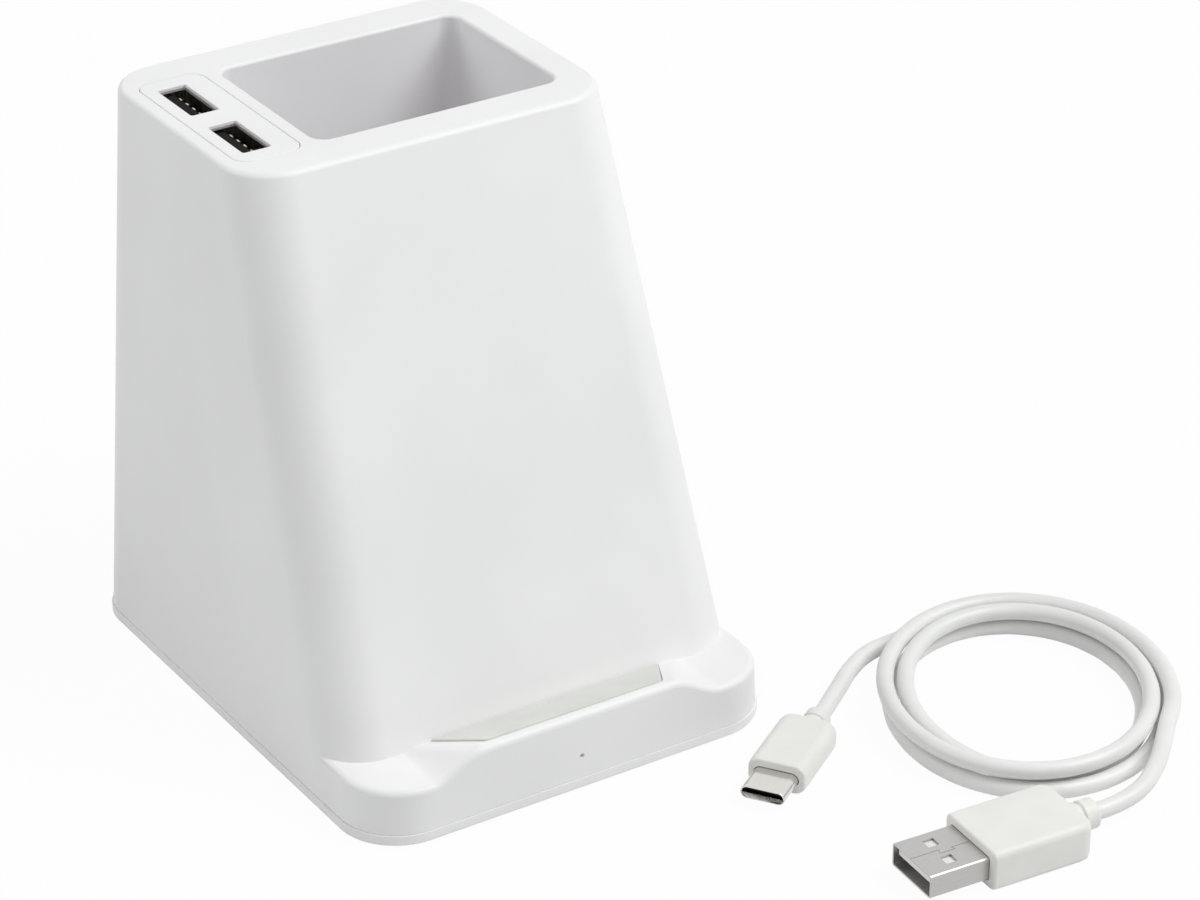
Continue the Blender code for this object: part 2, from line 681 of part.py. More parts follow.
def housing_cutters():
    cutters = [cavity(), well_cutter(), *panel_recess()]
    slot_width = INLET_WIDTH + 2 * FIT
    slot_height = INLET_HEIGHT + 2 * FIT
    z = inlet_height()
    mouth = inlet_mouth_y()
    cutters.append(make("inlet_slot", loft([stadium(slot_width, slot_height, y, z)
                                            for y in (mouth - WALL - OVERRUN, mouth + OVERRUN)])))
    cutters.append(make("inlet_recess", loft([stadium(INLET_RECESS_WIDTH, INLET_RECESS_HEIGHT, y, z)
                                              for y in (mouth, mouth + INLET_RECESS + OVERRUN)])))
    cutters.append(make("pin_hole", cylinder((0.0, FOOT_FRONT_Y - OVERRUN, LIGHT_HEIGHT),
                                             (0.0, FOOT_FRONT_Y + WALL + OVERRUN / 2, LIGHT_HEIGHT),
                                             PIN_HOLE_RADIUS, SMALL_SIDES)))
    pocket = strip_shape(FIT, -STRIP_THICKNESS + STRIP_STAND - FIT, OVERRUN)
    cutters.append(make("strip_pocket", pocket))
    for x, y in foot_places():
        top = HEAD_SEAT_HEIGHT + BASE_SCREW_LENGTH + FIT
        mesh = cylinder((x, y, BOSS_TOP - OVERRUN), (x, y, top), PILOT_RADIUS, SMALL_SIDES)
        cutters.append(make("pilot", mesh))
    for y in USB_BOSS_YS:
        top = USB_BOARD_TOP + BOARD_SCREW_LENGTH
        mesh = cylinder((PORT_X, y, USB_BOARD_TOP - OVERRUN), (PORT_X, y, top), PILOT_RADIUS, SMALL_SIDES)
        cutters.append(make("pilot", mesh))
    for x, y in corner_signs():
        centre = (x * CARRIER_BOSS_SPACING / 2, y * CARRIER_BOSS_SPACING / 2)
        mesh = cylinder((*centre, coil_boss_depth() - COIL_SCREW_LENGTH + CARRIER_THICKNESS),
                        (*centre, coil_boss_depth() + OVERRUN), PILOT_RADIUS, SMALL_SIDES)
        mesh.transform(face_frame())
        cutters.append(make("pilot", mesh))
    return cutters


def build_housing(finish):
    foot = combine(foot_block(), [ledge_cutter()])
    housing = combine(body_block(), [foot], "UNION")
    housing = combine(housing, housing_cutters())
    housing.data.materials.clear()
    housing.data.materials.append(finish)
    smooth(housing)


def build_strip(finish):
    make("ledge_pad", strip_shape(0.0, STRIP_STAND - STRIP_THICKNESS, STRIP_STAND), finish)


def build_panel(finish):
    rings = [centred_ring(PANEL_X, PANEL_Y, PANEL_WIDTH, PANEL_LENGTH, PANEL_CORNER, z)
             for z in (BODY_HEIGHT - PANEL_THICKNESS, BODY_HEIGHT)]
    panel = make("usb_panel", loft(rings), finish)
    cutters = []
    for y in PORT_YS:
        levels = ((BODY_HEIGHT - PANEL_THICKNESS - OVERRUN, 0.0), (BODY_HEIGHT - WINDOW_SOFTENING, 0.0),
                  (BODY_HEIGHT, WINDOW_SOFTENING), (BODY_HEIGHT + OVERRUN, WINDOW_SOFTENING))
        window = [centred_ring(PORT_X, y, WINDOW_WIDTH + 2 * grow, WINDOW_LENGTH + 2 * grow,
                               SOCKET_CORNER, z) for z, grow in levels]
        cutters.append(make("window", loft(window)))
        under = centred_box((PORT_X, y, BODY_HEIGHT - PANEL_SKIN - PANEL_THICKNESS / 2),
                            (SOCKET_WIDTH + 2 * FIT, SOCKET_LENGTH + 2 * FIT, PANEL_THICKNESS))
        cutters.append(make("under", under))
    combine(panel, cutters)


def build_sockets(shell_finish, tongue_finish, contact_finish):
    for number, y in enumerate(PORT_YS, start=1):
        outer = [centred_ring(PORT_X, y, SOCKET_WIDTH, SOCKET_LENGTH, SOCKET_CORNER, z)
                 for z in (SOCKET_BOTTOM, SOCKET_TOP)]
        bore_width = SOCKET_WIDTH - 2 * SOCKET_SHEET
        bore_length = SOCKET_LENGTH - 2 * SOCKET_SHEET
        inner = [centred_ring(PORT_X, y, bore_width, bore_length, SOCKET_CORNER - SOCKET_SHEET, z)
                 for z in (SOCKET_BOTTOM, SOCKET_TOP)]
        make(f"usb_a_socket_{number}_shell", sleeve(outer, inner), shell_finish)

        wall_x = PORT_X - bore_width / 2
        base = centred_box((PORT_X, y, SOCKET_BOTTOM + TONGUE_BASE / 2),
                           (bore_width - 2 * FIT, bore_length - 2 * FIT, TONGUE_BASE))
        face_x = wall_x + TONGUE_BACK_GAP + TONGUE_THICKNESS
        blade = box((wall_x + TONGUE_BACK_GAP, y - TONGUE_LENGTH / 2, SOCKET_BOTTOM + TONGUE_BASE / 2),
                    (face_x, y + TONGUE_LENGTH / 2, SOCKET_TOP - FIT))
        tongue = make(f"usb_a_socket_{number}_tongue", base, tongue_finish)
        combine(tongue, [make("blade", blade)], "UNION")
        for contact in range(4):
            place = y + (contact - 1.5) * CONTACT_PITCH
            low = SOCKET_BOTTOM + TONGUE_BASE + FIT
            strip = box((face_x + FIT, place - CONTACT_WIDTH / 2, low),
                        (face_x + FIT + CONTACT_THICKNESS, place + CONTACT_WIDTH / 2, low + CONTACT_HEIGHT))
            make(f"usb_a_socket_{number}_contact_{contact + 1}", strip, contact_finish)


def screw_mesh(length):
    """A pan head screw whose head's underside lies at zero and whose shank points up."""
    profile = ((0.0, -SCREW_HEAD_HEIGHT), (SCREW_HEAD_RADIUS * SCREW_CROWN_SHARE, -SCREW_HEAD_HEIGHT),
               (SCREW_HEAD_RADIUS, -SCREW_HEAD_HEIGHT * SCREW_EDGE_SHARE), (SCREW_HEAD_RADIUS, 0.0),
               (SCREW_RADIUS, 0.0), (SCREW_RADIUS, length - SCREW_RADIUS),
               (SCREW_RADIUS * SCREW_POINT_SHARE, length), (0.0, length))
    mesh = bmesh.new()
    points = [mesh.verts.new((x, 0.0, z)) for x, z in profile]
    edges = [mesh.edges.new(pair) for pair in zip(points, points[1:])]
    bmesh.ops.spin(mesh, geom=points + edges, cent=(0.0, 0.0, 0.0), axis=(0.0, 0.0, 1.0),
                   angle=2 * math.pi, steps=SMALL_SIDES, use_merge=True)
    bmesh.ops.remove_doubles(mesh, verts=mesh.verts, dist=SCREW_RADIUS / 100)
    return mesh


def place_screws(name, length, places, finish, parent=None, flip=False):
    """Puts one screw at each place, its head's underside there."""
    first = make(f"{name}_1", screw_mesh(length), finish)
    screws = [first]
    for number in range(2, len(places) + 1):
        copy = bpy.data.objects.new(f"{name}_{number}", first.data)
        bpy.context.scene.collection.objects.link(copy)
        screws.append(copy)
    for screw, place in zip(screws, places):
        screw.location = place
        screw.parent = parent
        if flip:
            screw.rotation_euler = (math.pi, 0.0, 0.0)


def build_cover(finish):
    low, high = COVER_LIFT, COVER_TOP
    rings = [base_ring(low, CHAMFER - COVER_PROUD), base_ring(low + CHAMFER, -COVER_PROUD),
             base_ring(high, -COVER_PROUD)]
    cover = make("base_cover", loft(rings), finish)
    rim_out, rim_in = WALL + FIT, WALL + FIT + COVER_RIM
    sink = COVER_THICKNESS / 2
    rim_levels = (high - sink, high + COVER_RIM_HEIGHT)
    outside = [base_ring(z, rim_out) for z in rim_levels]
    inside = [base_ring(z, rim_in) for z in rim_levels]
    rim = make("rim", sleeve(outside, inside))
    posts = [rim]
    for x, y in foot_places():
        mesh = cylinder((x, y, high - sink), (x, y, high + COVER_RIM_HEIGHT), COVER_POST_RADIUS)
        posts.append(make("post", mesh))
    for x, y in standoff_places():
        mesh = cylinder((x, y, high - sink), (x, y, high + STANDOFF_HEIGHT), STANDOFF_RADIUS)
        posts.append(make("post", mesh))
    for end in (-1, 1):
        x = end * LIGHT_POST_SPACING / 2
        y = light_board_middle()
        top = light_board_bottom() - FIT
        mesh = cylinder((x, y, high - sink), (x, y, top), LIGHT_POST_RADIUS, SMALL_SIDES)
        posts.append(make("post", mesh))
    for post in posts:
        combine(cover, [post], "UNION")
    cuts = []
    pocket_top = RUBBER_FOOT_HEIGHT + FIT
    head_bore = SCREW_HEAD_RADIUS + HEAD_CLEARANCE
    for x, y in foot_places():
        cuts.append(make("cut", cylinder((x, y, -OVERRUN), (x, y, pocket_top), RUBBER_FOOT_RADIUS + FIT)))
        cuts.append(make("cut", cylinder((x, y, 0.0), (x, y, HEAD_SEAT_HEIGHT), head_bore, SMALL_SIDES)))
        cuts.append(make("cut", cylinder((x, y, 0.0), (x, y, BODY_HEIGHT / 2), PILOT_RADIUS, SMALL_SIDES)))
    for x, y in standoff_places():
        cuts.append(make("cut", cylinder((x, y, high), (x, y, MAIN_BOARD_TOP), PILOT_RADIUS, SMALL_SIDES)))
    combine(cover, cuts)


def build_feet(finish):
    mesh = cylinder((0.0, 0.0, 0.0), (0.0, 0.0, RUBBER_FOOT_HEIGHT), RUBBER_FOOT_RADIUS)
    first = make("rubber_foot_1", mesh, finish)
    feet = [first]
    for number in range(2, 5):
        copy = bpy.data.objects.new(f"rubber_foot_{number}", first.data)
        bpy.context.scene.collection.objects.link(copy)
        feet.append(copy)
    for foot, (x, y) in zip(feet, foot_places()):
        foot.location = (x, y, 0.0)


def standoff_places():
    side = MAIN_BOARD_WIDTH / 2 - STANDOFF_INSET
    return [(x * side, y) for x in (-1, 1)
            for y in (MAIN_BOARD_FRONT_Y + STANDOFF_INSET, MAIN_BOARD_BACK_Y - STANDOFF_INSET)]


def drilled_board(name, mesh, holes, low, high, finish):
    board = make(name, mesh, finish)
    cuts = [make("cut", cylinder((x, y, low - OVERRUN), (x, y, high + OVERRUN), PILOT_RADIUS, SMALL_SIDES))
            for x, y in holes]
    return combine(board, cuts)


def build_main_board(board_finish, chip_finish, coil_finish, can_finish):
    half = MAIN_BOARD_WIDTH / 2
    mesh = box((-half, MAIN_BOARD_FRONT_Y, MAIN_BOARD_BOTTOM), (half, MAIN_BOARD_BACK_Y, MAIN_BOARD_TOP))
    drilled_board("main_board", mesh, standoff_places(), MAIN_BOARD_BOTTOM, MAIN_BOARD_TOP, board_finish)
    middle = (MAIN_BOARD_FRONT_Y + MAIN_BOARD_BACK_Y) / 2
    seat = MAIN_BOARD_TOP + FIT
    chip_middle = (-MAIN_BOARD_WIDTH / 6, middle, seat + CHIP_HEIGHT / 2)
    make("control_chip", centred_box(chip_middle, (CHIP_SIDE, CHIP_SIDE, CHIP_HEIGHT)), chip_finish)
    x = MAIN_BOARD_WIDTH / 5
    rings = [centred_ring(x, middle, INDUCTOR_SIDE, INDUCTOR_SIDE, INDUCTOR_CORNER, z)
             for z in (seat, seat + INDUCTOR_HEIGHT)]
    make("power_inductor", loft(rings), coil_finish)
    x = MAIN_BOARD_WIDTH / 2 - STANDOFF_INSET - CAPACITOR_RADIUS
    y = MAIN_BOARD_BACK_Y - STANDOFF_INSET - CAPACITOR_RADIUS - STANDOFF_RADIUS
    can = cylinder((-x, y, seat), (-x, y, seat + CAPACITOR_HEIGHT), CAPACITOR_RADIUS)
    make("capacitor", can, can_finish)


def build_inlet(shell_finish, tongue_finish):
    z = inlet_height()
    mouth = inlet_mouth_y()
    back = mouth - INLET_DEPTH
    outer = [stadium(INLET_WIDTH, INLET_HEIGHT, y, z) for y in (back, mouth)]
    bore_width, bore_height = INLET_WIDTH - 2 * INLET_SHEET, INLET_HEIGHT - 2 * INLET_SHEET
    inner = [stadium(bore_width, bore_height, y, z) for y in (back, mouth)]
    make("usb_c_inlet_shell", sleeve(outer, inner), shell_finish)
    base_ends = (back, back + INLET_BASE)
    rings = [stadium(bore_width - 2 * FIT, bore_height - 2 * FIT, y, z) for y in base_ends]
    base = make("usb_c_inlet_tongue", loft(rings), tongue_finish)
    half = INLET_TONGUE_WIDTH / 2
    thick = INLET_TONGUE_THICKNESS / 2
    blade = box((-half, back + INLET_BASE / 2, z - thick), (half, mouth - 2 * FIT, z + thick))
    combine(base, [make("blade", blade)], "UNION")


def build_usb_board(finish):
    low = USB_BOARD_TOP - BOARD_THICKNESS
    holes = [(PORT_X, y) for y in USB_BOSS_YS]
    half = USB_BOARD_WIDTH / 2
    mesh = box((PORT_X - half, USB_BOSS_YS[0] - USB_BOARD_MARGIN, low),
               (PORT_X + half, USB_BOSS_YS[1] + USB_BOARD_MARGIN, USB_BOARD_TOP))
    drilled_board("usb_board", mesh, holes, low, USB_BOARD_TOP, finish)


def light_board_bottom():
    return LIGHT_HEIGHT - LIGHT_TALL / 2 - FIT - LIGHT_BOARD_THICKNESS


def light_board_middle():
    """The small board lies just behind the cover's rim."""
    return FOOT_FRONT_Y + WALL + FIT + COVER_RIM + FIT + LIGHT_BOARD_DEPTH / 2


def build_indicator(board_finish, light_finish, pipe_finish):
    bottom = light_board_bottom()
    middle = light_board_middle()
    mesh = centred_box((0.0, middle, bottom + LIGHT_BOARD_THICKNESS / 2),
                       (LIGHT_BOARD_WIDTH, LIGHT_BOARD_DEPTH, LIGHT_BOARD_THICKNESS))
    make("indicator_board", mesh, board_finish)
    pipe_front = FOOT_FRONT_Y + WALL + FIT
    pipe_back = pipe_front + LIGHT_PIPE_LENGTH
    make("light_pipe", cylinder((0.0, pipe_front, LIGHT_HEIGHT), (0.0, pipe_back, LIGHT_HEIGHT),
                                LIGHT_PIPE_RADIUS, SMALL_SIDES), pipe_finish)
    middle = (0.0, pipe_back + FIT + LIGHT_DEPTH / 2, LIGHT_HEIGHT)
    make("indicator_light", centred_box(middle, (LIGHT_WIDTH, LIGHT_DEPTH, LIGHT_TALL)), light_finish)


def tube(name, points, radius, finish, resolution=1):
    """A round tube along the points, with filled ends."""
    path = bpy.data.curves.new(name, "CURVE")
    path.dimensions = "3D"
    path.bevel_depth = radius
    path.bevel_resolution = resolution
    path.use_fill_caps = True
    line = path.splines.new("POLY")
    line.points.add(len(points) - 1)
    for spot, point in zip(line.points, points):
        spot.co = (*point, 1.0)
    piece = bpy.data.objects.new(name, path)
    path.materials.append(finish)
    bpy.context.scene.collection.objects.link(piece)
    return piece


def winding_points():
    """A flat spiral from the coil's bore to its rim."""
    turns = (WINDING_RADIUS - WIRE_RADIUS - WINDING_BORE_RADIUS) / WINDING_PITCH
    steps = int(turns * LOOP_POINTS)
    depth = FIT + WIRE_RADIUS
    points = []
    for step in range(steps + 1):
        angle = 2 * math.pi * step / LOOP_POINTS
        radius = WINDING_BORE_RADIUS + WINDING_PITCH * step / LOOP_POINTS
        points.append(Vector((radius * math.cos(angle), radius * math.sin(angle), depth)))
    return points


def build_charging_coil(wire_finish, ferrite_finish, carrier_finish, screw_finish):
    """Coil, ferrite and carrier, stacked into the body from the face's inner side."""
    seat = bpy.data.objects.new("face_seat", None)
    seat.matrix_world = face_frame()
    bpy.context.scene.collection.objects.link(seat)
    coil = tube("charging_coil", winding_points(), WIRE_RADIUS, wire_finish)
    coil.parent = seat
    front = FIT + 2 * WIRE_RADIUS + FIT
    ferrite = make("ferrite_sheet", cylinder((0.0, 0.0, front), (0.0, 0.0, front + FERRITE_THICKNESS),
                                             FERRITE_RADIUS, 2 * ROUND_SIDES), ferrite_finish)
    ferrite.parent = seat
    low = front + FERRITE_THICKNESS + FIT
    rings = [centred_ring(0.0, 0.0, CARRIER_SIDE, CARRIER_SIDE, CARRIER_CORNER, z)
             for z in (low, low + CARRIER_THICKNESS)]
    carrier = make("coil_carrier", loft(rings), carrier_finish)
    cuts = [make("cut", cylinder((0.0, 0.0, low - OVERRUN), (0.0, 0.0, low + CARRIER_THICKNESS + OVERRUN),
                                 CARRIER_WINDOW_RADIUS))]
    places = []
    for x, y in corner_signs():
        place = (x * CARRIER_BOSS_SPACING / 2, y * CARRIER_BOSS_SPACING / 2)
        through = ((*place, low - OVERRUN), (*place, low + CARRIER_THICKNESS + OVERRUN))
        cuts.append(make("cut", cylinder(*through, PILOT_RADIUS, SMALL_SIDES)))
        places.append((*place, low + CARRIER_THICKNESS + FIT))
    combine(carrier, cuts)
    carrier.parent = seat
    place_screws("coil_screw", COIL_SCREW_LENGTH, places, screw_finish, seat, True)


def ribbon_mesh(path):
    """A flat lead of even thickness along a path in the XZ plane."""
    rings = []
    for here, (x, z) in enumerate(path):
        before, after = path[max(here - 1, 0)], path[min(here + 1, len(path) - 1)]
        along = Vector((after[0] - before[0], after[1] - before[1])).normalized()
        side = Vector((-along.y, along.x)) * RIBBON_THICKNESS / 2
        half = RIBBON_WIDTH / 2
        middle = MAIN_BOARD_BACK_Y - RIBBON_BACK_GAP
        rings.append([Vector((x + s * side.x, middle + y, z + s * side.y))
                      for s, y in ((1, half), (-1, half), (-1, -half), (1, -half))])
    return loft(rings)


def build_leads(ribbon_finish, lead_finish):
    """The ribbon from the USB board and the coil's lead, both landing on the main board."""
    edge_x = -MAIN_BOARD_WIDTH / 2
    seat = MAIN_BOARD_TOP + FIT
    end_x = edge_x + RIBBON_LANDING
    path = [(PORT_X, USB_BOARD_TOP - BOARD_THICKNESS - FIT), (PORT_X, seat + 2 * RIBBON_BEND)]
    for across, up in zip(RIBBON_ACROSS_SHARES, RIBBON_UP_SHARES):
        path.append((mix(PORT_X, end_x, across), seat + RIBBON_BEND * up))
    path.append((end_x, seat + RIBBON_THICKNESS / 2))
    make("usb_ribbon", ribbon_mesh(path), ribbon_finish)

    frame = face_frame()
    back = coil_boss_depth() + FIT + CARRIER_THICKNESS + FIT + LEAD_RADIUS
    start = frame @ Vector((-COIL_LEAD_X, -CARRIER_SIDE / 2 + LEAD_LANDING, back))
    down = frame.to_3x3() @ Vector((0.0, -1.0, 0.0))
    end = Vector((COIL_LEAD_X, MAIN_BOARD_FRONT_Y + LEAD_LANDING, seat + LEAD_RADIUS))
    route = bend_route(start, down, end, Vector((0.0, 1.0, 0.0)), 2 * LEAD_LANDING / 3)
    tube("coil_lead", route, LEAD_RADIUS, lead_finish)


def bend_route(start, out, end, into, spacing):
    """Even points on a smooth bend that leaves start along out and meets end along into."""
    span = (end - start).length
    reach = span * BEND_SHARE
    handles = (start, start + out * reach, end - into * reach, end)
    count = max(2, round(span / spacing))
    points = []
    for step in range(count + 1):
        t = step / count
        shares = ((1 - t) ** 3, 3 * t * (1 - t) ** 2, 3 * t * t * (1 - t), t ** 3)
        points.append(sum((handle * share for handle, share in zip(handles, shares)), Vector()))
    return points


def cable_turns():
    swing = CABLE_START_ANGLE - CABLE_END_ANGLE
    return CABLE_WHOLE_TURNS + swing / (2 * math.pi)


def cable_coil_point(share):
    """A point of the coiled cable: it winds in on the table, climbs one layer and winds out again."""
    turns = cable_turns()
    angle = CABLE_START_ANGLE - 2 * math.pi * turns * share
    inset = CABLE_PITCH * turns * min(share, 1 - share)
    climb = min(max((share - 0.5) * turns * 2 + 0.5, 0.0), 1.0)
    climb = climb * climb * (3 - 2 * climb)
    across = (CABLE_HALF_WIDTH - inset) * math.cos(angle)
    along = (CABLE_HALF_DEPTH - inset) * math.sin(angle)
    turn = CABLE_HEADING
    x = CABLE_TURNS_CENTRE[0] + across * math.sin(turn) + along * math.cos(turn)
    y = CABLE_TURNS_CENTRE[1] - across * math.cos(turn) + along * math.sin(turn)
    return Vector((x, y, CABLE_DIAMETER / 2 + CABLE_LAYER * climb))


def cable_coil_points():
    steps = round(cable_turns() * LOOP_POINTS)
    points = [cable_coil_point(step / steps) for step in range(steps + 1)]
    first = (points[0] - points[1]).normalized() * CABLE_DIAMETER
    last = (points[-1] - points[-2]).normalized() * CABLE_DIAMETER
    return [points[0] + first, *points, points[-1] + last]


def plug_frame(place, heading, height):
    """Axes of a plug: x from its neck to its tip, z up."""
    return Matrix.Translation((*place, height)) @ Matrix.Rotation(heading, 4, "Z")


def lead_route(frame, end, inner):
    """A free stretch from a plug's neck to the end of the coil, straight for one diameter at both."""
    neck = frame @ Vector((-FIT, 0.0, 0.0))
    out = (neck - frame @ Vector()).normalized()
    along = (inner - end).normalized()
    meet = end - along * FIT
    first = neck + out * CABLE_DIAMETER
    last = meet - along * CABLE_DIAMETER
    return [neck, *bend_route(first, out, last, along, CABLE_POINT_SPACING), meet]


def lead_routes():
    """The coil's points and the free stretches from both plugs to it."""
    coil = cable_coil_points()
    c_frame = plug_frame(C_NECK_PLACE, C_HEADING, C_GRIP_HEIGHT / 2)
    a_frame = plug_frame(A_NECK_PLACE, A_HEADING, A_GRIP_HEIGHT / 2)
    return coil, (lead_route(c_frame, coil[0], coil[1]), lead_route(a_frame, coil[-1], coil[-2]))


def least_self_gap(points, diameter):
    """Least gap of a tube to itself, between stretches more than a quarter turn apart along it."""
    fine = []
    for a, b in zip(points, points[1:]):
        fine += [a.lerp(b, step / 4) for step in range(4)]
    apart = LOOP_POINTS
    least = min((a - b).length for i, a in enumerate(fine) for b in fine[i + apart:])
    return least - diameter


def build_cable(finish):
    coil, (c_route, a_route) = lead_routes()
    tube("cable_coil", coil, CABLE_DIAMETER / 2, finish)
    tube("cable_lead_c", c_route, CABLE_DIAMETER / 2, finish, 2)
    tube("cable_lead_a", a_route, CABLE_DIAMETER / 2, finish, 2)
    whole = [*a_route, *reversed(coil), *reversed(c_route)]
    length = sum((b - a).length for a, b in zip(whole, whole[1:]))
    coil_gap = least_self_gap(coil, CABLE_DIAMETER)
    winding_gap = least_self_gap(winding_points(), 2 * WIRE_RADIUS)
    print(f"cable length {length:.4f} m")
    print(f"least gap of the coiled cable to itself {coil_gap:.5f} m")
    print(f"least gap of the charging coil's winding to itself {winding_gap:.5f} m")


def plug_section(x, width, height, radius):
    """A rounded rectangle across a plug's axis."""
    flat = centred_ring(0.0, 0.0, width, height, min(radius, height / 2 * ROUND_END_SHARE), 0.0)
    return [Vector((x, point.x, point.y)) for point in flat]


def grip_mesh(neck_length, neck_diameter, length, width, height, rounding):
    """Neck and grip of a moulded plug: a round neck, sloped shoulders, a soft front edge."""
    rings = [plug_section(0.0, neck_diameter, neck_diameter, neck_diameter),
             plug_section(neck_length, neck_diameter, neck_diameter, neck_diameter)]
    for along, wide, tall in zip(GRIP_LENGTH_SHARES, GRIP_WIDTH_SHARES, GRIP_HEIGHT_SHARES):
        rings.append(plug_section(neck_length + along * length, width * wide, height * tall, rounding))
    return loft(rings)


def plug_shell(x_low, x_high, width, height, corner, sheet):
    outer = [plug_section(x, width, height, corner) for x in (x_low, x_high)]
    inner = [plug_section(x, width - 2 * sheet, height - 2 * sheet, corner - sheet) for x in (x_low, x_high)]
    return sleeve(outer, inner)


def build_c_plug(grip_finish, shell_finish, core_finish):
    frame = plug_frame(C_NECK_PLACE, C_HEADING, C_GRIP_HEIGHT / 2)
    face = C_NECK_LENGTH + C_GRIP_LENGTH
    mesh = grip_mesh(C_NECK_LENGTH, C_NECK_DIAMETER, C_GRIP_LENGTH, C_GRIP_WIDTH, C_GRIP_HEIGHT,
                     C_GRIP_ROUNDING)
    grip = make("usb_c_plug_grip", mesh, grip_finish)
    seat = loft([plug_section(x, C_SHELL_WIDTH + 2 * FIT, C_SHELL_HEIGHT + 2 * FIT, C_SHELL_HEIGHT)
                 for x in (face - PLUG_SEAT, face + OVERRUN)])
    combine(grip, [make("seat", seat)])
    back, tip = face - PLUG_SEAT + FIT, face + C_SHELL_REACH
    tube_mesh = plug_shell(back, tip, C_SHELL_WIDTH, C_SHELL_HEIGHT, C_SHELL_HEIGHT, C_SHELL_SHEET)
    shell = make("usb_c_plug_shell", tube_mesh, shell_finish)
    trim = 2 * (C_SHELL_SHEET + FIT)
    core_ends = (back, tip - C_CORE_RECESS)
    rings = [plug_section(x, C_SHELL_WIDTH - trim, C_SHELL_HEIGHT - trim, C_SHELL_HEIGHT) for x in core_ends]
    core = make("usb_c_plug_core", loft(rings), core_finish)
    for piece in (grip, shell, core):
        piece.matrix_world = frame


def build_a_plug(grip_finish, shell_finish, insert_finish):
    frame = plug_frame(A_NECK_PLACE, A_HEADING, A_GRIP_HEIGHT / 2)
    face = A_NECK_LENGTH + A_GRIP_LENGTH
    mesh = grip_mesh(A_NECK_LENGTH, A_NECK_DIAMETER, A_GRIP_LENGTH, A_GRIP_WIDTH, A_GRIP_HEIGHT,
                     A_GRIP_ROUNDING)
    grip = make("usb_a_plug_grip", mesh, grip_finish)
    seat = loft([plug_section(x, A_SHELL_WIDTH + 2 * FIT, A_SHELL_HEIGHT + 2 * FIT, A_SHELL_CORNER + FIT)
                 for x in (face - PLUG_SEAT, face + OVERRUN)])
    combine(grip, [make("seat", seat)])
    back, tip = face - PLUG_SEAT + FIT, face + A_SHELL_REACH
    tube_mesh = plug_shell(back, tip, A_SHELL_WIDTH, A_SHELL_HEIGHT, A_SHELL_CORNER, A_SHELL_SHEET)
    shell = make("usb_a_plug_shell", tube_mesh, shell_finish)
    windows = []
    for side in (-1, 1):
        middle = (tip - A_WINDOW_BACK, side * A_WINDOW_SPACING / 2, 0.0)
        windows.append(make("window", centred_box(middle, (A_WINDOW, A_WINDOW, A_SHELL_HEIGHT + OVERRUN))))
    combine(shell, windows)
    ceiling = A_SHELL_HEIGHT / 2 - A_SHELL_SHEET - FIT
    half = A_INSERT_WIDTH / 2
    mesh = box((back, -half, ceiling - A_INSERT_HEIGHT), (tip - A_INSERT_RECESS, half, ceiling))
    insert = make("usb_a_plug_insert", mesh, insert_finish)
    for piece in (grip, shell, insert):
        piece.matrix_world = frame


def build_screws(finish):
    seat = HEAD_SEAT_HEIGHT - FIT
    place_screws("base_screw", BASE_SCREW_LENGTH, [(x, y, seat) for x, y in foot_places()], finish)
    top = MAIN_BOARD_TOP + FIT
    places = [(x, y, top) for x, y in standoff_places()]
    place_screws("board_screw", BOARD_SCREW_LENGTH, places, finish, None, True)
    under = USB_BOARD_TOP - BOARD_THICKNESS - FIT
    places = [(PORT_X, y, under) for y in USB_BOSS_YS]
    place_screws("usb_board_screw", BOARD_SCREW_LENGTH, places, finish)


def main():
    clear_scene()
    white = material("white_plastic", (0.80, 0.81, 0.81), 0.45)
    warm_white = material("warm_white_plastic", (0.79, 0.79, 0.75), 0.5)
    rubber = material("pale_rubber", (0.72, 0.72, 0.68), 0.8)
    dark_rubber = material("grey_rubber", (0.25, 0.25, 0.25), 0.85)
    nickel = material("nickel_plate", (0.62, 0.60, 0.56), 0.28, 1.0)
    black = material("black_plastic", (0.02, 0.02, 0.02), 0.5)
    brass = material("gold_contact", (0.80, 0.62, 0.28), 0.3, 1.0)
    steel = material("zinc_steel", (0.55, 0.55, 0.56), 0.35, 1.0)
    green = material("board_laminate", (0.03, 0.16, 0.07), 0.45)
    ferrite = material("ferrite", (0.06, 0.06, 0.065), 0.6)
    copper = material("copper_wire", (0.72, 0.36, 0.18), 0.35, 1.0)
    lamp = material("light_body", (0.85, 0.83, 0.70), 0.4)
    clear = material("clear_acrylic", (0.90, 0.92, 0.93), 0.1)

    build_housing(white)
    build_strip(rubber)
    build_panel(white)
    build_sockets(nickel, black, brass)
    build_usb_board(green)
    build_cover(white)
    build_feet(dark_rubber)
    build_main_board(green, black, ferrite, steel)
    build_inlet(nickel, black)
    build_indicator(green, lamp, clear)
    build_charging_coil(copper, ferrite, white, steel)
    build_screws(steel)
    build_leads(warm_white, black)
    build_cable(warm_white)
    build_c_plug(warm_white, nickel, black)
    build_a_plug(warm_white, nickel, warm_white)


main()
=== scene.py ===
import math

import bpy
from mathutils import Matrix, Vector


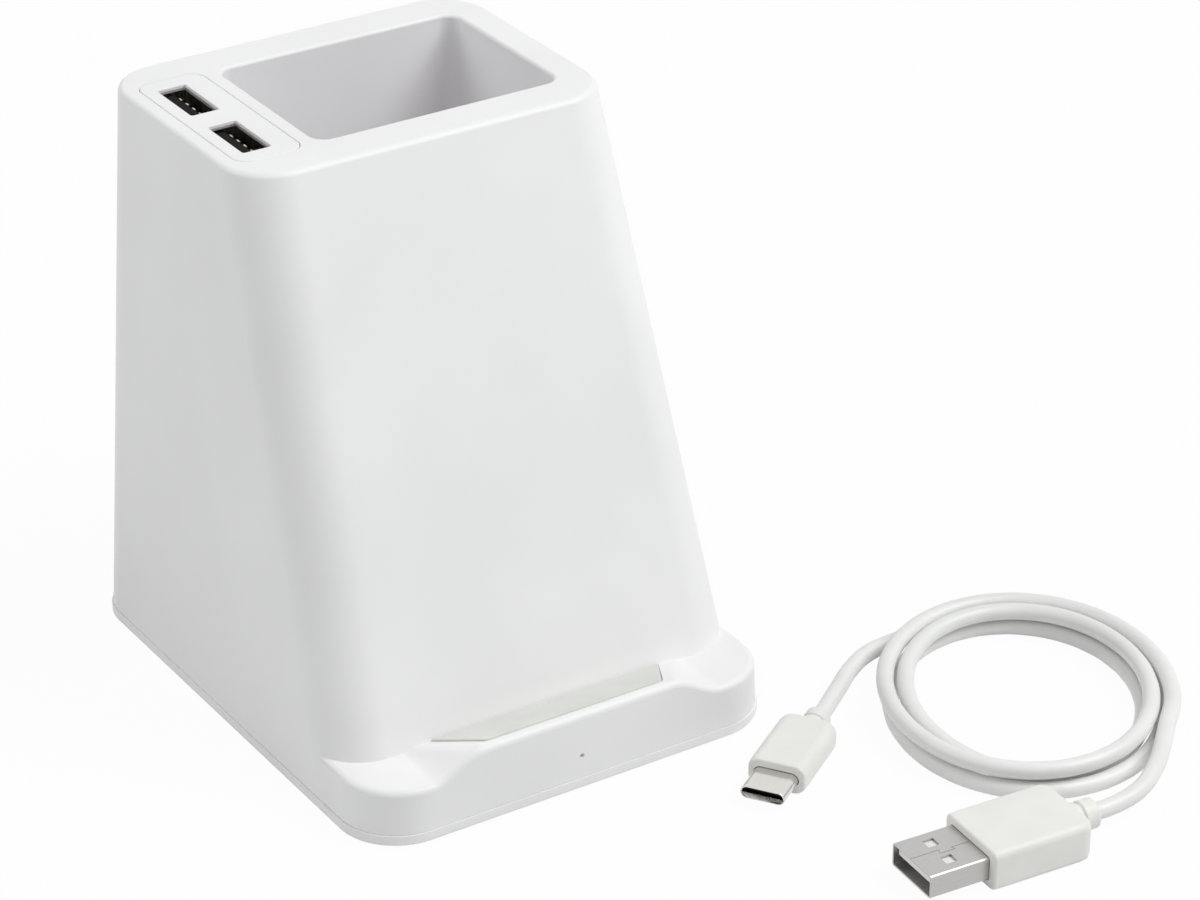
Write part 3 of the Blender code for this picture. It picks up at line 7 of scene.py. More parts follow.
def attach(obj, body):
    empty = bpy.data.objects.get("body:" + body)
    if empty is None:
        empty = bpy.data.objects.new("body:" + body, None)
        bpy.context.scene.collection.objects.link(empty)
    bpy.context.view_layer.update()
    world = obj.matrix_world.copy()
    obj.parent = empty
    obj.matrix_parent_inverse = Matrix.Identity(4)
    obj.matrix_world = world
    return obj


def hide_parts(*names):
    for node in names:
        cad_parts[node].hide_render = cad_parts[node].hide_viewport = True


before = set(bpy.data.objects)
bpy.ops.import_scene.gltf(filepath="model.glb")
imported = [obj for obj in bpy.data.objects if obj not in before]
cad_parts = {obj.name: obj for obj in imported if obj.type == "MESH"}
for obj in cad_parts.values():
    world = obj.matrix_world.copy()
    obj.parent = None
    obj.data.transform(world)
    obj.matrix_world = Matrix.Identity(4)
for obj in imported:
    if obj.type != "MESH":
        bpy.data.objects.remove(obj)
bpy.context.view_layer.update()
print("frame loaded:", len(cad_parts), "nodes")

near = 0.00001  # a point this close counts as being at a place
over = 0.0020  # how far a cutting tool stands out of what it cuts
halfRound = 0.999  # share of half a block's height that its corners take where its ends are to be round


# camera, standing where the photograph was taken from
cameraValues = {
    "place": (-0.32617, -0.57141, 0.39678),
    "right": (0.8422, -0.5393, -0.0045),
    "up": (0.2585, 0.3963, 0.8809),
    "back": (-0.4734, -0.7430, 0.4731),
    "lens": 123.67,
    "sensor": 36.0,
    "clip": (0.01, 20.0),
}


def makeCamera():
    v = cameraValues
    data = bpy.data.cameras.new("camera")
    data.lens = v["lens"]
    data.sensor_width = v["sensor"]
    data.clip_start, data.clip_end = v["clip"]
    camera = bpy.data.objects.new("camera", data)
    bpy.context.scene.collection.objects.link(camera)
    axes = (v["right"], v["up"], v["back"])
    turn = Matrix([[axes[column][row] for column in range(3)] for row in range(3)]).to_4x4()
    camera.matrix_world = Matrix.Translation(v["place"]) @ turn
    bpy.context.scene.camera = camera


makeCamera()
print("camera placed")


# Selecting and shaping, as by hand

def takeUp(piece):  # makes a piece the only one selected, and the active one
    if bpy.context.mode != "OBJECT":
        bpy.ops.object.mode_set(mode="OBJECT")
    bpy.ops.object.select_all(action="DESELECT")
    if piece:
        piece.select_set(True)
        bpy.context.view_layer.objects.active = piece


def choose(piece, kind, test):  # selects vertices, edges or faces by their place, and stays in edit mode
    takeUp(piece)
    bpy.ops.object.mode_set(mode="EDIT")
    bpy.ops.mesh.select_mode(type=kind)
    bpy.ops.mesh.select_all(action="DESELECT")
    bpy.ops.object.mode_set(mode="OBJECT")
    mesh = piece.data
    if kind == "VERT":
        for spot in mesh.vertices:
            spot.select = test(spot.co)
    elif kind == "EDGE":
        for edge in mesh.edges:
            edge.select = test(*(mesh.vertices[index].co for index in edge.vertices))
    else:
        for face in mesh.polygons:
            face.select = test(face.center, face.normal)
    bpy.ops.object.mode_set(mode="EDIT")


def bevelChosen(width, steps):
    bpy.ops.mesh.bevel(offset=width, segments=steps, profile=0.5, affect="EDGES", clamp_overlap=False)
    bpy.ops.object.mode_set(mode="OBJECT")


def bevelEdges(piece, test, width, steps):
    choose(piece, "EDGE", test)
    bevelChosen(width, steps)


def bevelWhere(piece, test, width, steps):  # the edges whose two ends both pass the test
    bevelEdges(piece, lambda a, b: test(a) and test(b), width, steps)


def moveSpots(piece, test, step):
    choose(piece, "VERT", test)
    bpy.ops.transform.translate(value=step)
    bpy.ops.object.mode_set(mode="OBJECT")


def scaleSpots(piece, test, x, wide, tall):  # about the X axis
    choose(piece, "VERT", test)
    bpy.ops.transform.resize(value=(1.0, wide, tall), center_override=(x, 0.0, 0.0))
    bpy.ops.object.mode_set(mode="OBJECT")


def cutLines(piece, places):  # draws a ring of edges round a piece at each place along X
    for x in places:
        choose(piece, "FACE", lambda centre, normal: True)
        bpy.ops.mesh.bisect(plane_co=(x, 0.0, 0.0), plane_no=(1.0, 0.0, 0.0))
        bpy.ops.object.mode_set(mode="OBJECT")


def nameNew(name):  # the object that was just added, with its place put into its mesh
    piece = bpy.context.active_object
    piece.name = name
    bpy.ops.object.transform_apply(location=True, rotation=True, scale=True)
    return piece


def addBlock(name, low, high):
    takeUp(None)
    middle = [(a + b) / 2 for a, b in zip(low, high)]
    bpy.ops.mesh.primitive_cube_add(size=1, location=middle, scale=[b - a for a, b in zip(low, high)])
    return nameNew(name)


def addRound(name, start, end, radius, sides=24):
    start, end = Vector(start), Vector(end)
    takeUp(None)
    turn = (end - start).to_track_quat("Z", "Y").to_euler()
    bpy.ops.mesh.primitive_cylinder_add(vertices=sides, radius=radius, depth=(end - start).length,
                                        location=(start + end) / 2, rotation=turn)
    return nameNew(name)


def combine(piece, tool, operation="DIFFERENCE"):  # a tool is used up by its cut or join
    takeUp(piece)
    step = piece.modifiers.new("combine", "BOOLEAN")
    step.operation = operation
    step.solver = "EXACT"
    step.object = tool
    bpy.ops.object.modifier_apply(modifier=step.name)
    bpy.data.objects.remove(tool, do_unlink=True)


def putAt(piece, place):  # turns and moves a finished piece, with its place in its mesh
    takeUp(piece)
    piece.matrix_world = place
    bpy.ops.object.transform_apply(location=True, rotation=True, scale=True)


def roundedBlock(name, low, high, corner, steps, axis=2):  # round at its four edges along one axis
    piece = addBlock(name, low, high)
    length = high[axis] - low[axis]
    bevelEdges(piece, lambda a, b: abs(a[axis] - b[axis]) > length * 0.9, corner, steps)
    return piece


def smoothOut(piece, angle=32.0):  # soft edges shade soft, and flat faces stay flat
    takeUp(piece)
    bpy.ops.object.mode_set(mode="EDIT")
    bpy.ops.mesh.select_all(action="SELECT")
    bpy.ops.mesh.remove_doubles(threshold=0.000002)
    bpy.ops.object.mode_set(mode="OBJECT")
    bpy.ops.object.shade_smooth_by_angle(angle=math.radians(angle))
    weights = piece.modifiers.new("weights", "WEIGHTED_NORMAL")
    weights.keep_sharp = True
    bpy.ops.object.modifier_apply(modifier=weights.name)


def smoothStep(share):  # from 0 to 1, level at both ends
    return share * share * (3 - 2 * share)


# Cable: one line from the USB-C plug through the coil to the USB-A plug
cableValues = {
    "diameter": 0.0032,
    "centre": (0.0810, -0.0745),
    "halfWidth": 0.0270,
    "halfDepth": 0.0315,
    "heading": math.radians(58.0),
    "start": math.radians(125.0),
    "end": math.radians(-25.0),
    "wholeTurns": 3,
    "pitch": 0.00375,
    "layer": 0.0037,
    "pointsPerTurn": 24,
    "spacing": 0.0072,
    "bendShare": 0.36,
    "entry": 0.0006,
    "joint": 0.0003,  # between a free stretch of the CAD and what it meets
    "arcSteps": 6,
    "stepsPerPoint": 5,
}
coilTurns = cableValues["wholeTurns"] + (cableValues["start"] - cableValues["end"]) / (2 * math.pi)
plugPlaces = {
    "c": {"neck": (0.0459, -0.0602), "heading": math.radians(214.0), "height": 0.0029},
    "a": {"neck": (0.0668, -0.1125), "heading": math.radians(176.0), "height": 0.0039},
}


def plugPlace(which):
    plug = plugPlaces[which]
    return Matrix.Translation((*plug["neck"], plug["height"])) @ Matrix.Rotation(plug["heading"], 4, "Z")


def coilPoint(share):
    v = cableValues
    angle = v["start"] - 2 * math.pi * coilTurns * share
    inset = v["pitch"] * coilTurns * min(share, 1 - share)
    climb = smoothStep(min(max((share - 0.5) * coilTurns * 2 + 0.5, 0.0), 1.0))
    across = (v["halfWidth"] - inset) * math.cos(angle)
    along = (v["halfDepth"] - inset) * math.sin(angle)
    x = v["centre"][0] + across * math.sin(v["heading"]) + along * math.cos(v["heading"])
    y = v["centre"][1] - across * math.cos(v["heading"]) + along * math.sin(v["heading"])
    return Vector((x, y, v["diameter"] / 2 + v["layer"] * climb))


def coilPoints():
    v = cableValues
    count = round(coilTurns * v["pointsPerTurn"])
    points = [coilPoint(step / count) for step in range(count + 1)]
    first = (points[0] - points[1]).normalized() * v["diameter"]
    last = (points[-1] - points[-2]).normalized() * v["diameter"]
    return [points[0] + first, *points, points[-1] + last]


def leadPoints(place, end, inner):  # a free stretch, straight for one diameter at both of its ends
    v = cableValues
    neck = place @ Vector((v["entry"], 0.0, 0.0))
    out = (place @ Vector((-1.0, 0.0, 0.0)) - place @ Vector()).normalized()
    into = (inner - end).normalized()
    first = place @ Vector((-v["joint"], 0.0, 0.0)) + out * v["diameter"]
    last = end - into * (v["joint"] + v["diameter"])
    span = (last - first).length
    reach = span * v["bendShare"]
    handles = (first, first + out * reach, last - into * reach, last)
    count = max(2, round(span / v["spacing"]))
    points = [neck]
    for step in range(count + 1):
        t = step / count
        shares = ((1 - t) ** 3, 3 * t * (1 - t) ** 2, 3 * t * t * (1 - t), t ** 3)
        points.append(sum((handle * share for handle, share in zip(handles, shares)), Vector()))
    return points


def makeCable():
    v = cableValues
    coil = coilPoints()
    points = leadPoints(plugPlace("c"), coil[0], coil[1]) + coil
    points += reversed(leadPoints(plugPlace("a"), coil[-1], coil[-2]))
    data = bpy.data.curves.new("cable", "CURVE")
    data.dimensions = "3D"
    data.bevel_depth = 1.0  # thickness comes from the points' radius
    data.bevel_resolution = v["arcSteps"]
    data.resolution_u = v["stepsPerPoint"]
    data.use_fill_caps = True
    line = data.splines.new("BEZIER")
    line.bezier_points.add(len(points) - 1)
    for spot, point in zip(line.bezier_points, points):
        spot.co = point
        spot.radius = v["diameter"] / 2
        spot.handle_left_type = "AUTO"
        spot.handle_right_type = "AUTO"
    cable = bpy.data.objects.new("cable", data)
    bpy.context.scene.collection.objects.link(cable)
    length = sum((b - a).length for a, b in zip(points, points[1:]))
    return cable, points[0], length


cable, cableExit, cableLength = makeCable()
print(f"cable laid: {cableLength:.4f} m")


# Colours and nodes

def hexColour(text):
    parts = [int(text[place:place + 2], 16) / 255 for place in (0, 2, 4)]
    linear = [((part + 0.055) / 1.055) ** 2.4 if part > 0.04045 else part / 12.92 for part in parts]
    return (*linear, 1.0)


def fillNode(tree, node, values, links):
    for name, value in values.items():
        node.inputs[name].default_value = value
    for name, source in links.items():
        tree.links.new(source, node.inputs[name])


def addNode(tree, kind, settings=None, values=None, links=None, stops=()):  # a colour ramp has stops
    node = tree.nodes.new(kind)
    for name, value in (settings or {}).items():
        setattr(node, name, value)
    for stop, (place, colour) in enumerate(stops):
        node.color_ramp.elements[stop].position = place
        node.color_ramp.elements[stop].color = hexColour(colour)
    fillNode(tree, node, values or {}, links or {})
    return node


def startMaterial(name):
    made = bpy.data.materials.new(name)
    made.use_nodes = True
    tree = made.node_tree
    shader = tree.nodes["Principled BSDF"]
    place = addNode(tree, "ShaderNodeTexCoord").outputs["Object"]
    return made, tree, shader, place


# Floor, lamps and world

stageValues = {
    "floorColour": "E6E6E6",
    "floorSize": 8.0,
    "floorGlow": 0.96,  # how much of the floor's own white the camera sees; the rest takes the shadow
    "worldLight": 0.35,
    "tint": (0.978, 1.0, 0.974),  # of all the light, a trace green as in the photograph
    "aim": (0.02, -0.02, 0.05),
    "lamps": {
        "lampTop": {"place": (0.70, -0.60, 1.20), "size": 0.9, "watts": 13.8},
        "lampFront": {"place": (-0.55, -0.75, 1.20), "size": 0.9, "watts": 0.7},
        "lampLeft": {"place": (-1.12, 0.66, 0.90), "size": 0.9, "watts": 5.6},
    },
}


def seenDirectly(tree):  # 1 where the camera looks, straight, in something glossy or through something clear
    rays = addNode(tree, "ShaderNodeLightPath")
    either = addNode(tree, "ShaderNodeMath", {"operation": "MAXIMUM"},
                     links={0: rays.outputs["Is Camera Ray"], 1: rays.outputs["Is Glossy Ray"]})
    anyOfThem = addNode(tree, "ShaderNodeMath", {"operation": "MAXIMUM"},
                        links={0: either.outputs[0], 1: rays.outputs["Is Transmission Ray"]})
    return anyOfThem.outputs[0]


def makeStage():
    v = stageValues
    takeUp(None)
    bpy.ops.mesh.primitive_plane_add(size=v["floorSize"], location=(0.0, 0.0, 0.0))
    floor = bpy.context.active_object
    floor.name = "floor"
    made = bpy.data.materials.new("pale floor")
    made.use_nodes = True
    tree = made.node_tree
    tree.nodes.clear()
    share = addNode(tree, "ShaderNodeMath", {"operation": "MULTIPLY"}, {1: v["floorGlow"]},
                    {0: seenDirectly(tree)})
    matt = addNode(tree, "ShaderNodeBsdfDiffuse", values={"Color": hexColour(v["floorColour"])})
    glow = addNode(tree, "ShaderNodeEmission", values={"Color": (1, 1, 1, 1), "Strength": 1.0})
    mixed = addNode(tree, "ShaderNodeMixShader",
                    links={0: share.outputs[0], 1: matt.outputs[0], 2: glow.outputs[0]})
    addNode(tree, "ShaderNodeOutputMaterial", links={"Surface": mixed.outputs[0]})
    floor.data.materials.append(made)

    world = bpy.data.worlds.new("world")
    world.use_nodes = True
    tree = world.node_tree
    tree.nodes.clear()
    dim = addNode(tree, "ShaderNodeBackground",
                  values={"Color": (*v["tint"], 1.0), "Strength": v["worldLight"]})
    white = addNode(tree, "ShaderNodeBackground", values={"Color": (1, 1, 1, 1), "Strength": 1.0})
    mixed = addNode(tree, "ShaderNodeMixShader",
                    links={0: seenDirectly(tree), 1: dim.outputs[0], 2: white.outputs[0]})
    addNode(tree, "ShaderNodeOutputWorld", links={"Surface": mixed.outputs[0]})
    bpy.context.scene.world = world

    for name, lamp in v["lamps"].items():
        data = bpy.data.lights.new(name, "AREA")
        data.size = lamp["size"]
        data.energy = lamp["watts"]
        data.color = v["tint"]
        made = bpy.data.objects.new(name, data)
        bpy.context.scene.collection.objects.link(made)
        made.location = lamp["place"]
        made.rotation_euler = (Vector(v["aim"]) - Vector(lamp["place"])).to_track_quat("-Z", "Y").to_euler()
    bpy.context.scene.view_settings.view_transform = "Standard"


makeStage()
print("stage lit")


# Housing: tapered body and foot in one moulding
body = {
    "height": 0.1090,
    "bottom": 0.0026,
    "baseHalf": 0.0425,
    "topHalf": 0.03725,
    "baseFront": -0.0450,
    "topFront": -0.00735,
    "baseBack": 0.0532,
    "topBack": 0.0474,
    "corner": 0.0100,
    "rim": 0.0010,
    "wall": 0.0022,
    "topWall": 0.0030,
}
foot = {
    "front": -0.0532,
    "back": -0.0262,
    "pad": 0.0112,
    "crest": 0.0154,
    "crestHalf": 0.0195,
    "ramp": 0.0105,
    "rampSteps": 14,
    "corner": 0.0115,
    "rim": 0.0012,
    "upTilt": 0.5,
    "outTilt": 0.4,
    "tuck": 0.00005,
    "roof": 0.0080,
}
lean = math.atan2(body["topFront"] - body["baseFront"], body["height"])


def bodyAt(z, inset=0.0):  # half the body's width at a height, and the places of its front and back
    share = z / body["height"]
    half = body["baseHalf"] + (body["topHalf"] - body["baseHalf"]) * share - inset
    front = body["baseFront"] + (body["topFront"] - body["baseFront"]) * share + inset / math.cos(lean)
    back = body["baseBack"] + (body["topBack"] - body["baseBack"]) * share - inset
    return half, front, back


def taperedBlock(name, low, high, inset, steps):
    half, front, back = bodyAt(low, inset)
    piece = roundedBlock(name, (-half, front, low), (half, back, high), body["corner"] - inset, steps)
    topHalf, topFront, topBack = bodyAt(high, inset)
    middle = (front + back) / 2
    for side in (-1, 1):
        for inFront, step in ((True, topFront - front), (False, topBack - back)):
            moveSpots(piece, lambda p: p.z > high - near and p.x * side > 0 and (p.y < middle) == inFront,
                      (side * (topHalf - half), step, 0.0))
    return piece


def toeBlock(name, low, high, back, inset, lowest, steps):  # in front of the body, with round front corners
    half = bodyAt(low, inset + foot["tuck"])[0]
    narrow = bodyAt(high, inset + foot["tuck"])[0] - half
    front = foot["front"] + inset
    piece = addBlock(name, (-half, front, lowest), (half, back, high))
    bevelEdges(piece, lambda a, b: abs(a.z - b.z) > near and a.y < front + near,
               foot["corner"] - inset, steps)
    for side in (-1, 1):
        moveSpots(piece, lambda p: p.z > high - near and p.x * side > 0, (side * narrow, 0.0, 0.0))
    return piece


def footBlock():
    pad, steps = foot["pad"], foot["rampSteps"]
    piece = toeBlock("foot", body["bottom"], pad, foot["back"], 0.0, body["bottom"], 18)
    # cross lines for the ramps, then each is raised to the crest's curve
    columns = [foot["crestHalf"] + foot["ramp"] * step / steps for step in range(steps + 1)]
    cutLines(piece, [side * x for x in columns for side in (-1, 1)])
    for step, x in enumerate(columns[:-1]):
        rise = (foot["crest"] - pad) * (1 - smoothStep(step / steps))
        moveSpots(piece, lambda p: p.z > pad - near and abs(abs(p.x) - x) < near, (0.0, 0.0, rise))
    # the rim, where a face that looks up meets one that looks out, is rounded, but not along the back
    choose(piece, "EDGE", lambda a, b: False)
    bpy.ops.object.mode_set(mode="OBJECT")
    tilts = {}
    for face in piece.data.polygons:
        for key in face.edge_keys:
            tilts.setdefault(key, []).append(face.normal.z)
    for line in piece.data.edges:
        a, b = (piece.data.vertices[index].co for index in line.vertices)
        isRim = max(tilts[line.key]) > foot["upTilt"] and min(tilts[line.key]) < foot["outTilt"]
        line.select = isRim and min(a.y, b.y) < foot["back"] - near
    bpy.ops.object.mode_set(mode="EDIT")
    bevelChosen(foot["rim"], 6)
    return piece


ledge = {
    "origin": (0.0, -0.0517, 0.0154),
    "run": 0.011361,
    "reach": 0.02934,
    "stripFrontHalf": 0.0182,
    "stripBackHalf": 0.0237,
    "stripFront": 0.0008,
    "stripBack": 0.010961,
    "stripLow": -0.0008,
    "stripHigh": 0.00035,
    "stripCorner": 0.0007,
    "stripEdge": 0.00022,
    "gap": 0.00014,
    "crease": 0.0012,
    "creaseFrom": 0.0002,
    "creaseUp": 0.0004,
    "creaseSpan": 0.0030,
}
ledgePlace = Matrix.Translation(ledge["origin"]) @ Matrix.Rotation(-lean, 4, "X")


def stripBlock(name, grow, low, high):  # a trapezoid on the ledge's slope, long at the leaning face
    half, narrow = ledge["stripBackHalf"] + grow, ledge["stripBackHalf"] - ledge["stripFrontHalf"]
    front, back = ledge["stripFront"] - grow, ledge["stripBack"] + grow
    piece = addBlock(name, (-half, front, low), (half, back, high))
    for side in (-1, 1):
        moveSpots(piece, lambda p: p.x * side > 0 and p.y < (front + back) / 2, (-side * narrow, 0.0, 0.0))
    bevelEdges(piece, lambda a, b: abs(a.z - b.z) > (high - low) / 2 and a.y < (front + back) / 2,
               ledge["stripCorner"] + grow, 4)
    return piece


well = {
    "low": (-0.0184, 0.0013),
    "high": (0.0307, 0.0386),
    "floor": 0.0220,
    "draft": 0.0008,
    "corner": 0.0030,
    "lip": 0.0007,
    "wall": 0.0018,
    "floorWall": 0.0020,
    "floorEdge": 0.0010,
}


def wellBlock(name, low, high, grow, corner, steps):  # narrower at its floor by the draft
    piece = roundedBlock(name, (well["low"][0] - grow, well["low"][1] - grow, low),
                         (well["high"][0] + grow, well["high"][1] + grow, high), corner + grow, steps)
    middle = [(a + b) / 2 for a, b in zip(well["low"], well["high"])]
    for sideX in (-1, 1):
        for sideY in (-1, 1):
            moveSpots(piece, lambda p: p.z < low + near and (p.x - middle[0]) * sideX > 0
                      and (p.y - middle[1]) * sideY > 0,
                      (-sideX * well["draft"], -sideY * well["draft"], 0.0))
    return piece


panel = {
    "middle": (-0.02775, 0.01995),
    "width": 0.0127,
    "length": 0.0396,
    "corner": 0.0030,
    "thickness": 0.0016,
    "seam": 0.00014,
    "rebate": 0.0014,
    "edge": 0.0002,
    "windowX": -0.02875,
    "windowYs": (0.0294, 0.0105),
    "windowWidth": 0.0055,
    "windowLength": 0.0131,
    "windowCorner": 0.0004,
    "underWidth": 0.0063,
    "underLength": 0.0137,
    "underCorner": 0.0006,
    "underDepth": 0.0050,
    "skin": 0.0006,
}
inlet = {
    "height": 0.00783,
    "width": 0.00894,
    "tall": 0.00326,
    "length": 0.0073,
    "sheet": 0.0003,
    "edge": 0.00008,
    "recessWidth": 0.0126,
    "recessTall": 0.0070,
    "recess": 0.0010,
    "gap": 0.0003,
    "slotDepth": 0.0042,
}
bosses = {
    "feet": ((-0.0325, -0.0412), (0.0325, -0.0412), (-0.0325, 0.0427), (0.0325, 0.0427)),
    "footRadius": 0.0032,
    "footLow": 0.0053,
    "footTop": 0.0220,
    "rib": 0.0016,
    "ribFrom": -0.0002,
    "ribTo": 0.0100,
    "pilot": 0.0013,
    "pilotTop": 0.0096,
    "usbYs": (-0.00085, 0.04075),
    "usbRadius": 0.0023,
    "usbLow": 0.0946,
    "usbBoardTop": 0.0943,
    "usbPilot": 0.0030,
    "coilHeight": 0.0640,
    "coilHalf": 0.0225,
    "coilRadius": 0.0028,
    "coilDepth": 0.0038,
    "coilPilot": 0.0026,
}
light = {"height": 0.0070, "radius": 0.00045, "mouth": 0.0001}
inside = {
    "low": 0.0006,
    "toeLow": 0.0005,
    "toeLength": 0.0270,
}


def facePlace():  # on the face's inner side at the charging coil: y up the slope, z into the body
    front = bodyAt(bosses["coilHeight"], body["wall"])[1]
    rise, run = math.cos(lean), math.sin(lean)
    turn = Matrix(((-1.0, 0.0, 0.0), (0.0, run, rise), (0.0, rise, -run)))
    return Matrix.Translation((0.0, front, bosses["coilHeight"])) @ turn.to_4x4()


def coilRounds(name, low, high, radius, sides):  # one at each of the coil carrier's four screws, in turn
    for x in (-bosses["coilHalf"], bosses["coilHalf"]):
        for y in (-bosses["coilHalf"], bosses["coilHalf"]):
            tool = addRound(name, (x, y, low), (x, y, high), radius, sides)
            putAt(tool, facePlace())
            yield tool


def panelBlock(name, x, y, width, length, corner, low, high, steps):
    return roundedBlock(name, (x - width / 2, y - length / 2, low), (x + width / 2, y + length / 2, high),
                        corner, steps)


def inletBlock(name, width, tall, back, mouth, steps):  # along Y at the inlet's height, with half-round ends
    return roundedBlock(name, (-width / 2, back, inlet["height"] - tall / 2),
                        (width / 2, mouth, inlet["height"] + tall / 2), tall / 2 * halfRound, steps, axis=1)


def hollowBlock():  # the space inside, less what stays solid in it
    wall, roof = body["wall"], foot["roof"]
    hollow = taperedBlock("hollow", inside["low"], body["height"] - body["topWall"], wall, 5)
    combine(hollow, toeBlock("toe", inside["low"], roof, foot["front"] + wall + inside["toeLength"], wall,
                             inside["toeLow"], 5), "UNION")
    combine(hollow, wellBlock("well walls", well["floor"] - well["floorWall"], body["height"], well["wall"],
                              well["corner"], 4))
    for x, y in bosses["feet"]:
        top = bosses["footTop"] if y > 0 else roof + over
        post = addRound("boss", (x, y, bosses["footLow"]), (x, y, top), bosses["footRadius"])
        if y > 0:
            rib = addBlock("rib", (bosses["ribFrom"], -bosses["rib"] / 2, bosses["footLow"]),
                           (bosses["ribTo"], bosses["rib"] / 2, top))
            heading = math.atan2(1, math.copysign(1, x))
            putAt(rib, Matrix.Translation((x, y, 0.0)) @ Matrix.Rotation(heading, 4, "Z"))
            combine(post, rib, "UNION")
        combine(hollow, post)
    for y in bosses["usbYs"]:
        combine(hollow, addRound("boss", (panel["windowX"], y, bosses["usbLow"]),
                                 (panel["windowX"], y, body["height"]), bosses["usbRadius"]))
    for post in coilRounds("boss", -wall, bosses["coilDepth"], bosses["coilRadius"], 24):
        combine(hollow, post)
    return hollow


def softenLedgeEnds(block):  # rounds the crease where the ledge's slope runs out over each ramp
    toLedge = ledgePlace.inverted()

    def onSlope(p):
        place = toLedge @ p
        return (abs(place.z) < 2 * near and abs(place.x) > foot["crestHalf"] + ledge["creaseFrom"]
                and place.y > ledge["creaseUp"])

    bevelEdges(block, lambda a, b: onSlope(a) and onSlope(b) and abs(a.x - b.x) < ledge["creaseSpan"]
               and not any(abs((toLedge @ p).y - ledge["run"]) < near for p in (a, b)), ledge["crease"], 4)


def cutOpenings(housing):
    top, width, length, seam = body["height"], panel["width"], panel["length"], panel["seam"]
    inner = panel["rebate"]
    mouth = wellBlock("well", well["floor"], top + over, 0.0, well["corner"], 10)
    bevelWhere(mouth, lambda p: p.z < well["floor"] + near, well["floorEdge"], 4)
    combine(housing, mouth)
    combine(housing, panelBlock("recess", *panel["middle"], width + 2 * seam, length + 2 * seam,
                                panel["corner"] + seam, top - panel["thickness"] - seam, top + over, 8))
    combine(housing, panelBlock("opening", *panel["middle"], width - 2 * inner, length - 2 * inner,
                                panel["corner"] - inner, top - body["topWall"] - over, top, 4))
    pocket = stripBlock("pocket", ledge["gap"], ledge["stripLow"] - ledge["gap"], over)
    putAt(pocket, ledgePlace)
    combine(housing, pocket)
    back, gap = bodyAt(inlet["height"])[2] - inlet["recess"], inlet["gap"]
    combine(housing, inletBlock("inlet slot", inlet["width"] + 2 * gap, inlet["tall"] + 2 * gap,
                                back - inlet["slotDepth"], back + over, 8))
    combine(housing, inletBlock("inlet recess", inlet["recessWidth"], inlet["recessTall"], back,
                                back + inlet["recess"] + over, 8))
    front, height = foot["front"], light["height"]
    combine(housing, addRound("pin hole", (0.0, front - over, height),
                              (0.0, front + body["wall"] + over / 2, height), light["radius"]))
    for x, y in bosses["feet"]:
        combine(housing, addRound("pilot", (x, y, bosses["footLow"] - over), (x, y, bosses["pilotTop"]),
                                  bosses["pilot"], 16))
    x, z = panel["windowX"], bosses["usbBoardTop"]
    for y in bosses["usbYs"]:
        combine(housing, addRound("pilot", (x, y, z - over), (x, y, z + bosses["usbPilot"]),
                                  bosses["pilot"], 16))
    for pilot in coilRounds("pilot", bosses["coilDepth"] - bosses["coilPilot"], bosses["coilDepth"] + over,
                            bosses["pilot"], 16):
        combine(housing, pilot)


def roundOpenings(housing):
    top, slack = body["height"] - near, 10 * near

    def aroundWell(p):
        return p.z > top and all(well["low"][axis] - slack < p[axis] < well["high"][axis] + slack
                                 for axis in (0, 1))

    def aroundPanel(p):
        reach = [panel[size] / 2 + panel["seam"] + slack for size in ("width", "length")]
        return p.z > top and all(abs(p[axis] - panel["middle"][axis]) < reach[axis] for axis in (0, 1))

    def aroundPinHole(p):
        return (p.y < foot["front"] + near and abs(p.x) < 2 * light["radius"]
                and abs(p.z - light["height"]) < 2 * light["radius"])

    bevelWhere(housing, aroundWell, well["lip"], 6)
    bevelWhere(housing, aroundPanel, panel["edge"], 2)
    bevelWhere(housing, aroundPinHole, light["mouth"], 2)


def makeHousing():
    block = footBlock()
    half = ledge["reach"]
    wedge = addBlock("wedge", (-half, -over, 0.0), (half, ledge["run"] + over, foot["crest"]))
    putAt(wedge, ledgePlace)
    combine(block, wedge)
    softenLedgeEnds(block)
    housing = taperedBlock("housingShell", body["bottom"], body["height"], 0.0, 16)
    bevelWhere(housing, lambda p: p.z > body["height"] - near, body["rim"], 7)
    combine(housing, block, "UNION")
    print("  body and foot joined:", len(housing.data.vertices))
    combine(housing, hollowBlock())
    print("  hollowed:", len(housing.data.vertices))
    cutOpenings(housing)
    print("  openings cut:", len(housing.data.vertices))
    roundOpenings(housing)
    smoothOut(housing)
    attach(housing, "holder")
    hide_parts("housing")
    return housing


housingShell = makeHousing()
print("housing moulded:", len(housingShell.data.polygons), "faces")


# Base cover: the plate below the seam, with its rim, posts and foot pockets
cover = {
    "half": 0.04266,
    "front": -0.0534,
    "back": 0.05336,
    "low": 0.0004,
    "high": 0.00254,
    "frontCorner": 0.0117,
    "backCorner": 0.0102,
    "lowEdge": 0.0006,
    "highEdge": 0.00016,
    "rimOut": 0.0027,
    "rimIn": 0.0039,
    "rimTop": 0.0050,
    "sink": 0.00095,
    "postRadius": 0.0040,
    "standoffs": ((-0.0205, 0.0100), (0.0205, 0.0100), (-0.0205, 0.0450), (0.0205, 0.0450)),
    "standoffRadius": 0.0024,
    "standoffTop": 0.0040,
    "standoffBoreTop": 0.0059,
    "lightPosts": ((-0.0050, -0.0462), (0.0050, -0.0462)),
    "lightPostTop": 0.0046,
    "lightPostRadius": 0.0015,
    "pocketRadius": 0.0053,
    "pocketTop": 0.0014,
    "headRadius": 0.0024,
    "headTop": 0.0033,
    "boreTop": 0.0100,
}


